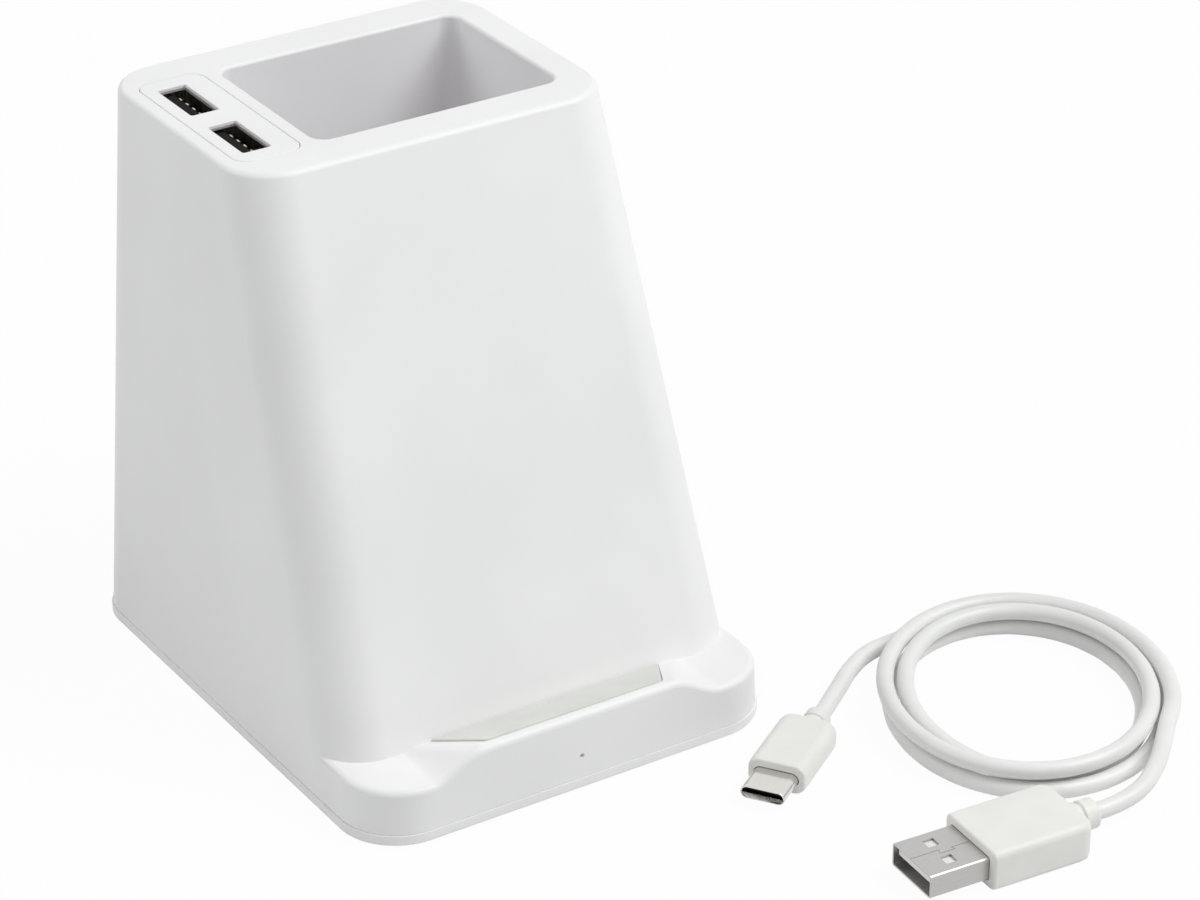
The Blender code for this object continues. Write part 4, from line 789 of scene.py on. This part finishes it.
def outlineBlock(name, inset, low, high, steps):  # the outline of body and foot together
    v = cover
    front, back = v["front"] + inset, v["back"] - inset
    piece = addBlock(name, (-v["half"] + inset, front, low), (v["half"] - inset, back, high))
    for end, corner in ((front, v["frontCorner"]), (back, v["backCorner"])):
        bevelEdges(piece, lambda a, b: abs(a.z - b.z) > near and max(abs(a.y - end), abs(b.y - end)) < near,
                   corner - inset, steps)
    return piece


def onOutline(p):  # true at the plate's own outer edge, false at the rim and pockets that stand inside it
    v = cover
    corner = v["frontCorner"] if p.y < 0 else v["backCorner"]
    pastSide = abs(p.x) - v["half"] + corner
    pastEnd = v["front"] + corner - p.y if p.y < 0 else p.y - v["back"] + corner
    reach = math.hypot(pastSide, pastEnd) if min(pastSide, pastEnd) > 0 else max(pastSide, pastEnd)
    return reach > corner - v["rimOut"] / 2


def makeCover():
    v = cover
    low, high, sink, pilot = v["low"], v["high"], v["sink"], bosses["pilot"]
    piece = outlineBlock("baseCover", 0.0, low, high, 16)
    rim = outlineBlock("rim", v["rimOut"], high - sink, v["rimTop"], 10)
    combine(rim, outlineBlock("rim space", v["rimIn"], high - 2 * sink, v["rimTop"] + over / 2, 10))
    combine(piece, rim, "UNION")
    posts = [(x, y, v["rimTop"], v["postRadius"]) for x, y in bosses["feet"]]
    posts += [(x, y, v["standoffTop"], v["standoffRadius"]) for x, y in v["standoffs"]]
    posts += [(x, y, v["lightPostTop"], v["lightPostRadius"]) for x, y in v["lightPosts"]]
    for x, y, top, radius in posts:
        combine(piece, addRound("post", (x, y, high - sink), (x, y, top), radius, 32), "UNION")
    for x, y in bosses["feet"]:
        combine(piece, addRound("pocket", (x, y, -over), (x, y, v["pocketTop"]), v["pocketRadius"], 48))
        combine(piece, addRound("head bore", (x, y, 0.0), (x, y, v["headTop"]), v["headRadius"]))
        combine(piece, addRound("bore", (x, y, 0.0), (x, y, v["boreTop"]), pilot))
    for x, y in v["standoffs"]:
        combine(piece, addRound("bore", (x, y, high), (x, y, v["standoffBoreTop"]), pilot))
    bevelWhere(piece, lambda p: p.z < low + near and onOutline(p), v["lowEdge"], 4)
    bevelWhere(piece, lambda p: abs(p.z - high) < near and onOutline(p), v["highEdge"], 2)
    smoothOut(piece)
    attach(piece, "holder")
    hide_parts("base_cover")
    return piece


baseCover = makeCover()
print("cover moulded:", len(baseCover.data.polygons), "faces")


# Rubber feet: one is made, the others are copies with their own mesh
rubberFeet = {"radius": 0.0050, "height": 0.0011, "edge": 0.0003, "dish": 0.0009, "dishDepth": 0.00015}


def makeFeet():
    v = rubberFeet
    x, y = bosses["feet"][0]
    first = addRound("rubberFoot1", (x, y, 0.0), (x, y, v["height"]), v["radius"], 48)
    choose(first, "FACE", lambda centre, normal: normal.z < -0.9)
    bpy.ops.mesh.inset(thickness=v["dish"], depth=0.0)
    bpy.ops.mesh.inset(thickness=v["dish"] / 3, depth=-v["dishDepth"])  # the shallow dish that grips a desk
    bpy.ops.object.mode_set(mode="OBJECT")
    bevelEdges(first, lambda a, b: all(math.hypot(p.x - x, p.y - y) > v["radius"] - near for p in (a, b))
               and abs(a.z - b.z) < near, v["edge"], 3)
    feet = [first]
    for number, (otherX, otherY) in enumerate(bosses["feet"][1:], start=2):
        takeUp(first)
        bpy.ops.object.duplicate(linked=False)
        copy = bpy.context.active_object
        copy.name = f"rubberFoot{number}"
        putAt(copy, Matrix.Translation((otherX - x, otherY - y, 0.0)))
        feet.append(copy)
    for number, piece in enumerate(feet, start=1):
        smoothOut(piece)
        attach(piece, "holder")
        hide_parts(f"rubber_foot_{number}")
    return feet


feetPieces = makeFeet()
print("feet made")


# Port panel: an inset plate with two windows, thin skin over the sockets
def makePanel():
    v = panel
    top, windowX = body["height"], v["windowX"]
    piece = panelBlock("portPanel", *v["middle"], v["width"], v["length"], v["corner"],
                       top - v["thickness"], top, 10)
    bevelWhere(piece, lambda p: p.z > top - near, v["edge"], 3)
    for windowY in v["windowYs"]:
        combine(piece, panelBlock("window", windowX, windowY, v["windowWidth"], v["windowLength"],
                                  v["windowCorner"], top - v["underDepth"], top + over, 3))
        combine(piece, panelBlock("under", windowX, windowY, v["underWidth"], v["underLength"],
                                  v["underCorner"], top - v["underDepth"], top - v["skin"], 2))
    halfX, halfY = v["windowWidth"] / 2 + 10 * near, v["windowLength"] / 2 + 10 * near
    bevelEdges(piece, lambda a, b: min(a.z, b.z) > top - near and any(
        all(abs(p.x - windowX) < halfX and abs(p.y - windowY) < halfY for p in (a, b))
        for windowY in v["windowYs"]), v["edge"], 3)
    smoothOut(piece)
    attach(piece, "holder")
    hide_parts("usb_panel")
    return piece


portPanel = makePanel()
print("panel made")


# Rubber strip on the ledge
def makeStrip():
    v = ledge
    piece = stripBlock("ledgeStrip", 0.0, v["stripLow"], v["stripHigh"])
    bevelWhere(piece, lambda p: p.z > v["stripHigh"] - near, v["stripEdge"], 3)
    putAt(piece, ledgePlace)
    smoothOut(piece)
    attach(piece, "holder")
    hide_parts("ledge_pad")
    return piece


ledgeStrip = makeStrip()
print("strip made")


# Power inlet's shell in the back
def makeInlet():
    v = inlet
    mouth = bodyAt(v["height"])[2] - v["recess"]
    width, tall, sheet = v["width"], v["tall"], v["sheet"]
    piece = inletBlock("inletShell", width, tall, mouth - v["length"], mouth, 10)
    combine(piece, inletBlock("bore", width - 2 * sheet, tall - 2 * sheet, mouth - v["length"] - over,
                              mouth + over, 10))
    bevelWhere(piece, lambda p: p.y > mouth - near, v["edge"], 2)
    smoothOut(piece)
    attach(piece, "holder")
    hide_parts("usb_c_inlet_shell")
    return piece


inletShell = makeInlet()
print("inlet made")


# Plugs, each built along X from its neck and then laid on the table
grips = {
    "c": {"neck": 0.0042, "neckWidth": 0.0048, "length": 0.0170, "width": 0.0110, "tall": 0.0058,
          "edge": 0.0021, "collar": 0.0024, "groove": 0.0008, "grooveShare": 0.86,
          "shellWidth": 0.00834, "shellTall": 0.00256, "shellReach": 0.00665, "sheet": 0.0003},
    "a": {"neck": 0.0048, "neckWidth": 0.0056, "length": 0.0205, "width": 0.0156, "tall": 0.0078,
          "edge": 0.0014, "collar": 0.0027, "groove": 0.0009, "grooveShare": 0.84,
          "shellWidth": 0.0120, "shellTall": 0.0045, "shellReach": 0.01175, "sheet": 0.00035,
          "corner": 0.0005},
}
# places along a grip, and its width and height there, as shares of the whole
gripShape = {
    "c": ((0.0, 0.78, 0.87), (0.018, 0.87, 0.93), (0.05, 0.955, 0.975), (0.11, 0.99, 1.0), (0.86, 1.0, 1.0),
          (0.96, 0.99, 0.99), (1.0, 0.965, 0.96)),
    "a": ((0.0, 0.80, 0.88), (0.018, 0.88, 0.93), (0.06, 0.975, 0.98), (0.12, 1.0, 1.0), (0.90, 1.0, 1.0),
          (0.975, 0.995, 0.99), (1.0, 0.975, 0.965)),
}
both = {
    "backEdge": 0.0004,
    "faceEdge": 0.00035,
    "neckEdge": 0.0003,
    "grooveSlope": 0.0002,
    "stalkRoot": 0.0010,  # how far the neck and the shell reach into the grip
    "shellRoot": 0.0017,
    "shellEdge": 0.00010,
    "bore": 0.0012,
    "boreGap": 0.0001,
    "seat": 0.0020,
    "seatGap": 0.00012,
}


def shellCorner(which, half, bent):  # the C plug's shell has round ends, the A plug's has only bent corners
    return half * halfRound if which == "c" else bent


def makeGrip(which, name):
    v = grips[which]
    neck, face = v["neck"], v["neck"] + v["length"]
    grip = roundedBlock(name, (neck, -v["width"] / 2, -v["tall"] / 2), (face, v["width"] / 2, v["tall"] / 2),
                        v["edge"], 7, axis=0)
    cutLines(grip, [neck + share * v["length"] for share, _, _ in gripShape[which][1:-1]])
    for share, wide, tall in gripShape[which]:
        x = neck + share * v["length"]
        scaleSpots(grip, lambda p: abs(p.x - x) < near, x, wide, tall)
    bevelWhere(grip, lambda p: p.x < neck + near, both["backEdge"], 3)
    bevelWhere(grip, lambda p: p.x > face - near, both["faceEdge"], 3)
    # the neck: a collar, a groove that lets it bend, and a root in the grip
    stalk = addRound("neck", (0.0, 0.0, 0.0), (neck + both["stalkRoot"], 0.0, 0.0), v["neckWidth"] / 2, 40)
    start, end, slope = v["collar"], v["collar"] + v["groove"], both["grooveSlope"]
    cutLines(stalk, (start, start + slope, end - slope, end))
    middle = v["collar"] + v["groove"] / 2
    scaleSpots(stalk, lambda p: abs(p.x - middle) < v["groove"] / 2 - slope / 2, middle, v["grooveShare"],
               v["grooveShare"])
    bevelWhere(stalk, lambda p: p.x < near, both["neckEdge"], 3)
    combine(grip, stalk, "UNION")
    combine(grip, addRound("cable bore", (-over / 2, 0.0, 0.0), (both["bore"], 0.0, 0.0),
                           cableValues["diameter"] / 2 + both["boreGap"], 40))
    gap = both["seatGap"]
    half, tall = v["shellWidth"] / 2 + gap, v["shellTall"] / 2 + gap
    corner = shellCorner(which, v["shellTall"] / 2, grips["a"]["corner"] * halfRound) + gap
    combine(grip, roundedBlock("seat", (face - both["seat"], -half, -tall), (face + over, half, tall),
                               corner, 8, axis=0))
    return grip


def makeShell(which, name):
    v = grips[which]
    back = v["neck"] + v["length"] - both["shellRoot"]
    tip = v["neck"] + v["length"] + v["shellReach"]
    half, tall = v["shellWidth"] / 2, v["shellTall"] / 2
    corner, steps = shellCorner(which, tall, grips["a"]["corner"]), 10 if which == "c" else 5
    shell = roundedBlock(name, (back, -half, -tall), (tip, half, tall), corner, steps, axis=0)
    half, tall = half - v["sheet"], tall - v["sheet"]
    corner, steps = shellCorner(which, tall, grips["a"]["corner"] / 2), 10 if which == "c" else 4
    combine(shell, roundedBlock("bore", (back - over / 2, -half, -tall), (tip + over / 2, half, tall),
                                corner, steps, axis=0))
    bevelWhere(shell, lambda p: p.x > tip - near, both["shellEdge"], 2)
    return shell, back, tip


def layPlug(which, pieces):  # puts a finished plug on the table
    for piece, node, finish in pieces:
        putAt(piece, plugPlace(which))
        smoothOut(piece)
        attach(piece, "cable")
        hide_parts(node)
    return [piece for piece, _, _ in pieces]


coreC = {"gap": 0.00042, "setback": 0.0003, "slotDepth": 0.0055, "slotHalf": 0.0033, "slotTall": 0.00042,
         "slotEdge": 0.0001}


def makePlugC():
    v = coreC
    grip = makeGrip("c", "plugGripC")
    shell, back, tip = makeShell("c", "plugShellC")
    half, tall = grips["c"]["shellWidth"] / 2 - v["gap"], grips["c"]["shellTall"] / 2 - v["gap"]
    core = roundedBlock("plugCoreC", (back, -half, -tall), (tip - v["setback"], half, tall),
                        tall * halfRound, 8, axis=0)
    combine(core, roundedBlock("slot", (tip - v["slotDepth"], -v["slotHalf"], -v["slotTall"]),
                               (tip + over / 2, v["slotHalf"], v["slotTall"]), v["slotEdge"], 2, axis=0))
    return layPlug("c", ((grip, "usb_c_plug_grip", "cable_plastic"),
                         (shell, "usb_c_plug_shell", "nickel_plate"),
                         (core, "usb_c_plug_core", "black_plastic")))


# places in these two are measured back from the tip
shellA = {
    "windowYs": (-0.0028, 0.0028),
    "windowHalf": 0.0011,
    "window": (0.0067, 0.0045),
    # the joint steps like a dovetail
    "joint": ((0.0079, 0.0), (0.0083, 0.0007), (0.0052, 0.0007), (0.0056, -0.0003)),
    "jointHalf": 0.00005,
    "jointDepth": 0.00012,
}
insertA = {
    "gap": 0.0001,
    "tall": 0.0019,
    "half": 0.0053,
    "tip": 0.0008,
    "edge": 0.0002,
    "channelYs": (-0.0035, -0.0010, 0.0010, 0.0035),
    "channelHalf": 0.0006,
    "channel": (0.0088, 0.0013),
    "channelDepth": 0.0003,
}


def makeShellA():
    v = shellA
    shell, back, tip = makeShell("a", "plugShellA")
    for y in v["windowYs"]:
        combine(shell, addBlock("window", (tip - v["window"][0], y - v["windowHalf"], -2 * over),
                                (tip - v["window"][1], y + v["windowHalf"], 2 * over)))
    # the folded sheet's joint, a fine line in the top
    steps = [(tip - x, y) for x, y in v["joint"]]
    corners = ((back - over / 2, steps[0][1]), *steps, (tip + over / 2, steps[-1][1]))
    for start, end in zip(corners, corners[1:]):
        span = Vector(end) - Vector(start)
        line = addBlock("joint", (-v["jointHalf"], -v["jointHalf"], -v["jointDepth"]),
                        (span.length + v["jointHalf"], v["jointHalf"], over / 4))
        turn = Matrix.Rotation(math.atan2(span.y, span.x), 4, "Z")
        putAt(line, Matrix.Translation((*start, grips["a"]["shellTall"] / 2)) @ turn)
        combine(shell, line)
    return shell, back, tip


def makePlugA():
    v = insertA
    grip = makeGrip("a", "plugGripA")
    shell, back, tip = makeShellA()
    high = grips["a"]["shellTall"] / 2 - grips["a"]["sheet"] - v["gap"]
    low, end = high - v["tall"], tip - v["tip"]
    insert = addBlock("plugInsertA", (back, -v["half"], low), (end, v["half"], high))
    bevelEdges(insert, lambda a, b: min(a.x, b.x) > end - near or max(a.z, b.z) < low + near, v["edge"], 3)
    for y in v["channelYs"]:
        combine(insert, addBlock("channel", (tip - v["channel"][0], y - v["channelHalf"], low - over / 2),
                                 (tip - v["channel"][1], y + v["channelHalf"], low + v["channelDepth"])))
    return layPlug("a", ((grip, "usb_a_plug_grip", "cable_plastic"),
                         (shell, "usb_a_plug_shell", "nickel_plate"),
                         (insert, "usb_a_plug_insert", "cable_plastic")))


plugGripC, plugShellC, plugCoreC = makePlugC()
plugGripA, plugShellA, plugInsertA = makePlugA()
print("plugs made")

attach(cable, "cable")
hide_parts("cable_coil", "cable_lead_c", "cable_lead_a")
tuple(cableExit)


# Materials: "patch" is metres across the faint patches in a surface's colour, "grain" across its grain
plastics = {
    # Injection-moulded ABS from a spark-eroded tool: white, satin, with a fine even grain that breaks up
    # highlights. A trace of brightener shows where light bounces about in the well. The grain is drawn about
    # three times coarser than it is so that it shows.
    "moulded ABS": {"colour": "F7F5F8", "shade": "F3F1F4", "patch": 0.035, "grain": 0.00022,
                    "grainDepth": 0.000006, "gloss": (0.40, 0.50)},
    # Silicone sheet on the ledge: cream-grey and quite matt, dusty at the scale of its own fine grain.
    "silicone strip": {"colour": "DFDFDB", "shade": "DBDBD7", "patch": 0.006, "grain": 0.0003,
                       "grainDepth": 0.000015, "gloss": (0.68, 0.80)},
    # Grey silicone of the feet, a little darker in its pores.
    "silicone feet": {"colour": "77797A", "shade": "6B6D6E", "patch": 0.003, "grain": 0.0003,
                      "grainDepth": 0.000015, "gloss": (0.70, 0.85)},
    # Extruded jacket of the cable: warm white, softly glossy, faintly rippled along its length by the die.
    "extruded TPE jacket": {"colour": "F1F0F0", "shade": "ECEBEB", "patch": 0.012, "grain": 0.0007,
                            "grainDepth": 0.000010, "gloss": (0.34, 0.44)},
    # Moulded over the plugs: the same warm white, a little more matt and finely grained.
    "overmoulded TPE": {"colour": "EFEDEB", "shade": "EBE9E7", "patch": 0.009, "grain": 0.00028,
                        "grainDepth": 0.000008, "gloss": (0.44, 0.54)},
    # Tongues and cores: almost black with a dull speckle.
    "glass-filled black plastic": {"colour": "0D0D0D", "shade": "080808", "patch": 0.0008, "grain": 0.0002,
                                   "grainDepth": 0.000008, "gloss": (0.60, 0.78), "shine": 0.10},
    # Dark grey, granular and dry.
    "sintered ferrite": {"colour": "37373A", "shade": "29292B", "patch": 0.0010, "grain": 0.00035,
                         "grainDepth": 0.00002, "gloss": (0.55, 0.75)},
    # Body of the small light.
    "milky resin": {"colour": "F3EEDB", "shade": "EFE6C4", "patch": 0.0015, "grain": 0.0003,
                    "grainDepth": 0.000004, "gloss": (0.30, 0.40)},
}
# Each metal keeps its own tint, and fine lines from rolling or polishing run along one heading.
nickel = {"colour": "E0DED9", "shade": "D6D4CE", "gloss": (0.14, 0.21), "line": 0.00007, "stretch": 0.04}
metals = {
    "nickel plate, C plug": {**nickel, "heading": plugPlaces["c"]["heading"]},
    # The A plug's plating is duller than the rest.
    "nickel plate, A plug": {"colour": "C2C0BE", "shade": "B8B6B4", "gloss": (0.34, 0.44), "line": 0.00007,
                             "stretch": 0.04, "heading": plugPlaces["a"]["heading"]},
    "nickel plate, sockets": {**nickel, "heading": math.pi / 2},
    "zinc-plated steel": {"colour": "B9BBBD", "shade": "A4A6A8", "gloss": (0.28, 0.42), "line": 0.0002,
                          "stretch": 0.2},
    "gold-plated contact": {"colour": "DED8C8", "shade": "D3CCB9", "gloss": (0.18, 0.30), "line": 0.00012,
                            "stretch": 0.1, "heading": math.pi / 2},
    # The wire has a clear coat of enamel.
    "enamelled copper wire": {"colour": "C98255", "shade": "B46D42", "gloss": (0.25, 0.36), "line": 0.0004,
                              "stretch": 0.5, "coat": 0.6, "coatGloss": 0.12},
    "deep-drawn aluminium": {"colour": "C3C5C7", "shade": "B2B4B6", "gloss": (0.30, 0.42), "line": 0.0002,
                             "stretch": 0.05},
}
# Glass-fibre laminate under green solder mask: the weave shows faintly through a glossy skin. It is drawn
# about six times as coarse as its threads are, so that it shows.
laminate = {"mask": "1E6B3E", "weave": "17552F", "thread": 0.00055, "gloss": 0.28}
# Cast acrylic light pipe: clear, with a slight frost where it was cut.
acrylic = {"colour": "F4F8F8", "frost": 0.0004, "gloss": (0.05, 0.22)}
# Flat ribbon lead: each wire stands up as a rib in the grey-white jacket, drawn six times as wide as it is.
# The darker colour in the grooves between the ribs is painted shade.
ribbon = {"rib": "DFE0DE", "groove": "BFC0BE", "pitch": 0.0010, "gloss": 0.5}
waveRate = 20  # radians in a unit of the Wave node, which makes a band 2 pi times as wide as the size given


def finishSurface(tree, shader, pattern, stops, height, strength, depth, gloss=None):
    # the pattern gives the colour, and the gloss where that varies; the height gives the relief
    colours = addNode(tree, "ShaderNodeValToRGB", links={"Fac": pattern}, stops=stops)
    relief = addNode(tree, "ShaderNodeBump", {}, {"Strength": strength, "Distance": depth},
                     {"Height": height})
    fillNode(tree, shader, {}, {"Base Color": colours.outputs["Color"], "Normal": relief.outputs["Normal"]})
    if gloss:
        spread = addNode(tree, "ShaderNodeMapRange", {}, {"To Min": gloss[0], "To Max": gloss[1]},
                         {"Value": pattern})
        fillNode(tree, shader, {}, {"Roughness": spread.outputs["Result"]})


def makePlastic(name, v):
    made, tree, shader, place = startMaterial(name)
    patch = addNode(tree, "ShaderNodeTexNoise", {}, {"Scale": 1 / v["patch"], "Detail": 2.0},
                    {"Vector": place})
    grain = addNode(tree, "ShaderNodeTexNoise", {},
                    {"Scale": 1 / v["grain"], "Detail": 3.0, "Roughness": 0.6}, {"Vector": place})
    finishSurface(tree, shader, patch.outputs["Fac"], ((0.35, v["shade"]), (0.62, v["colour"])),
                  grain.outputs["Fac"], 0.35, v["grainDepth"], v["gloss"])
    fillNode(tree, shader, {"IOR": 1.53, "Specular IOR Level": v.get("shine", 0.5)}, {})
    return made


def makeMetal(name, v):
    made, tree, shader, place = startMaterial(name)
    turned = addNode(tree, "ShaderNodeMapping", {}, {"Rotation": (0.0, 0.0, -v.get("heading", 0.0))},
                     {"Vector": place})
    drawn = addNode(tree, "ShaderNodeMapping", {}, {"Scale": (v["stretch"], 1.0, 1.0)},
                    {"Vector": turned.outputs["Vector"]})
    lines = addNode(tree, "ShaderNodeTexNoise", {}, {"Scale": 1 / v["line"], "Detail": 4.0},
                    {"Vector": drawn.outputs["Vector"]})
    finishSurface(tree, shader, lines.outputs["Fac"], ((0.30, v["shade"]), (0.70, v["colour"])),
                  lines.outputs["Fac"], 0.12, 0.000002, v["gloss"])
    fillNode(tree, shader, {"Metallic": 1.0}, {})
    if "coat" in v:
        fillNode(tree, shader, {"Coat Weight": v["coat"], "Coat Roughness": v["coatGloss"]}, {})
    return made


def makeLaminate(name, v):
    made, tree, shader, place = startMaterial(name)
    across, along = [addNode(tree, "ShaderNodeTexWave", {"wave_type": "BANDS", "bands_direction": axis},
                             {"Scale": 1 / v["thread"] / waveRate, "Distortion": 0.6}, {"Vector": place})
                     for axis in ("X", "Y")]
    cloth = addNode(tree, "ShaderNodeMath", {"operation": "MULTIPLY"},
                    links={0: across.outputs["Fac"], 1: along.outputs["Fac"]})
    finishSurface(tree, shader, cloth.outputs[0], ((0.0, v["weave"]), (1.0, v["mask"])),
                  cloth.outputs[0], 0.3, 0.00001)
    fillNode(tree, shader, {"Roughness": v["gloss"]}, {})
    return made


def makeAcrylic(name, v):
    made, tree, shader, place = startMaterial(name)
    frost = addNode(tree, "ShaderNodeTexNoise", {}, {"Scale": 1 / v["frost"]}, {"Vector": place})
    gloss = addNode(tree, "ShaderNodeMapRange", {}, {"To Min": v["gloss"][0], "To Max": v["gloss"][1]},
                    {"Value": frost.outputs["Fac"]})
    fillNode(tree, shader, {"Base Color": hexColour(v["colour"]), "Transmission Weight": 1.0, "IOR": 1.49},
             {"Roughness": gloss.outputs["Result"]})
    return made


def makeRibbon(name, v):
    made, tree, shader, place = startMaterial(name)
    ribs = addNode(tree, "ShaderNodeTexWave", {"wave_type": "BANDS", "bands_direction": "Y"},
                   {"Scale": 1 / v["pitch"] / waveRate}, {"Vector": place})
    # the grooves take the darker colour: painted shade between the ribs
    finishSurface(tree, shader, ribs.outputs["Fac"], ((0.0, v["groove"]), (1.0, v["rib"])),
                  ribs.outputs["Fac"], 0.6, 0.0001)
    fillNode(tree, shader, {"Roughness": v["gloss"]}, {})
    return made


def dress(piece, finish):
    if piece.type == "CURVE" or not piece.data.materials:
        piece.data.materials.clear()
        piece.data.materials.append(finish)
    for place in piece.material_slots:
        place.material = finish


def numbered(kind, *ends):
    return [f"{kind}_{end}" for end in ends or (1, 2, 3, 4)]


finishes = {
    "moulded ABS": (housingShell, baseCover, portPanel, "coil_carrier"),
    "silicone strip": (ledgeStrip,),
    "silicone feet": feetPieces,
    "extruded TPE jacket": (cable,),
    "overmoulded TPE": (plugGripC, plugGripA, plugInsertA),
    "glass-filled black plastic": (plugCoreC, *numbered("usb_a_socket", "1_tongue", "2_tongue"),
                                   "usb_c_inlet_tongue", "control_chip", "coil_lead"),
    "sintered ferrite": ("power_inductor", "ferrite_sheet"),
    "milky resin": ("indicator_light",),
    "nickel plate, C plug": (plugShellC,),
    "nickel plate, A plug": (plugShellA,),
    "nickel plate, sockets": (inletShell, *numbered("usb_a_socket", "1_shell", "2_shell")),
    "zinc-plated steel": (*numbered("base_screw"), *numbered("board_screw"), *numbered("coil_screw"),
                          *numbered("usb_board_screw", 1, 2)),
    "gold-plated contact": (*numbered("usb_a_socket_1_contact"), *numbered("usb_a_socket_2_contact")),
    "enamelled copper wire": ("charging_coil",),
    "deep-drawn aluminium": ("capacitor",),
    "solder-masked laminate": ("main_board", "usb_board", "indicator_board"),
    "clear acrylic": ("light_pipe",),
    "ribbon lead": ("usb_ribbon",),
}
recipes = {name: (makePlastic, v) for name, v in plastics.items()}
recipes.update((name, (makeMetal, v)) for name, v in metals.items())
recipes["solder-masked laminate"] = (makeLaminate, laminate)
recipes["clear acrylic"] = (makeAcrylic, acrylic)
recipes["ribbon lead"] = (makeRibbon, ribbon)
for name, pieces in finishes.items():
    make, values = recipes[name]
    finish = make(name, values)
    for piece in pieces:
        dress(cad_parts[piece] if isinstance(piece, str) else piece, finish)
print("materials on")

takeUp(None)
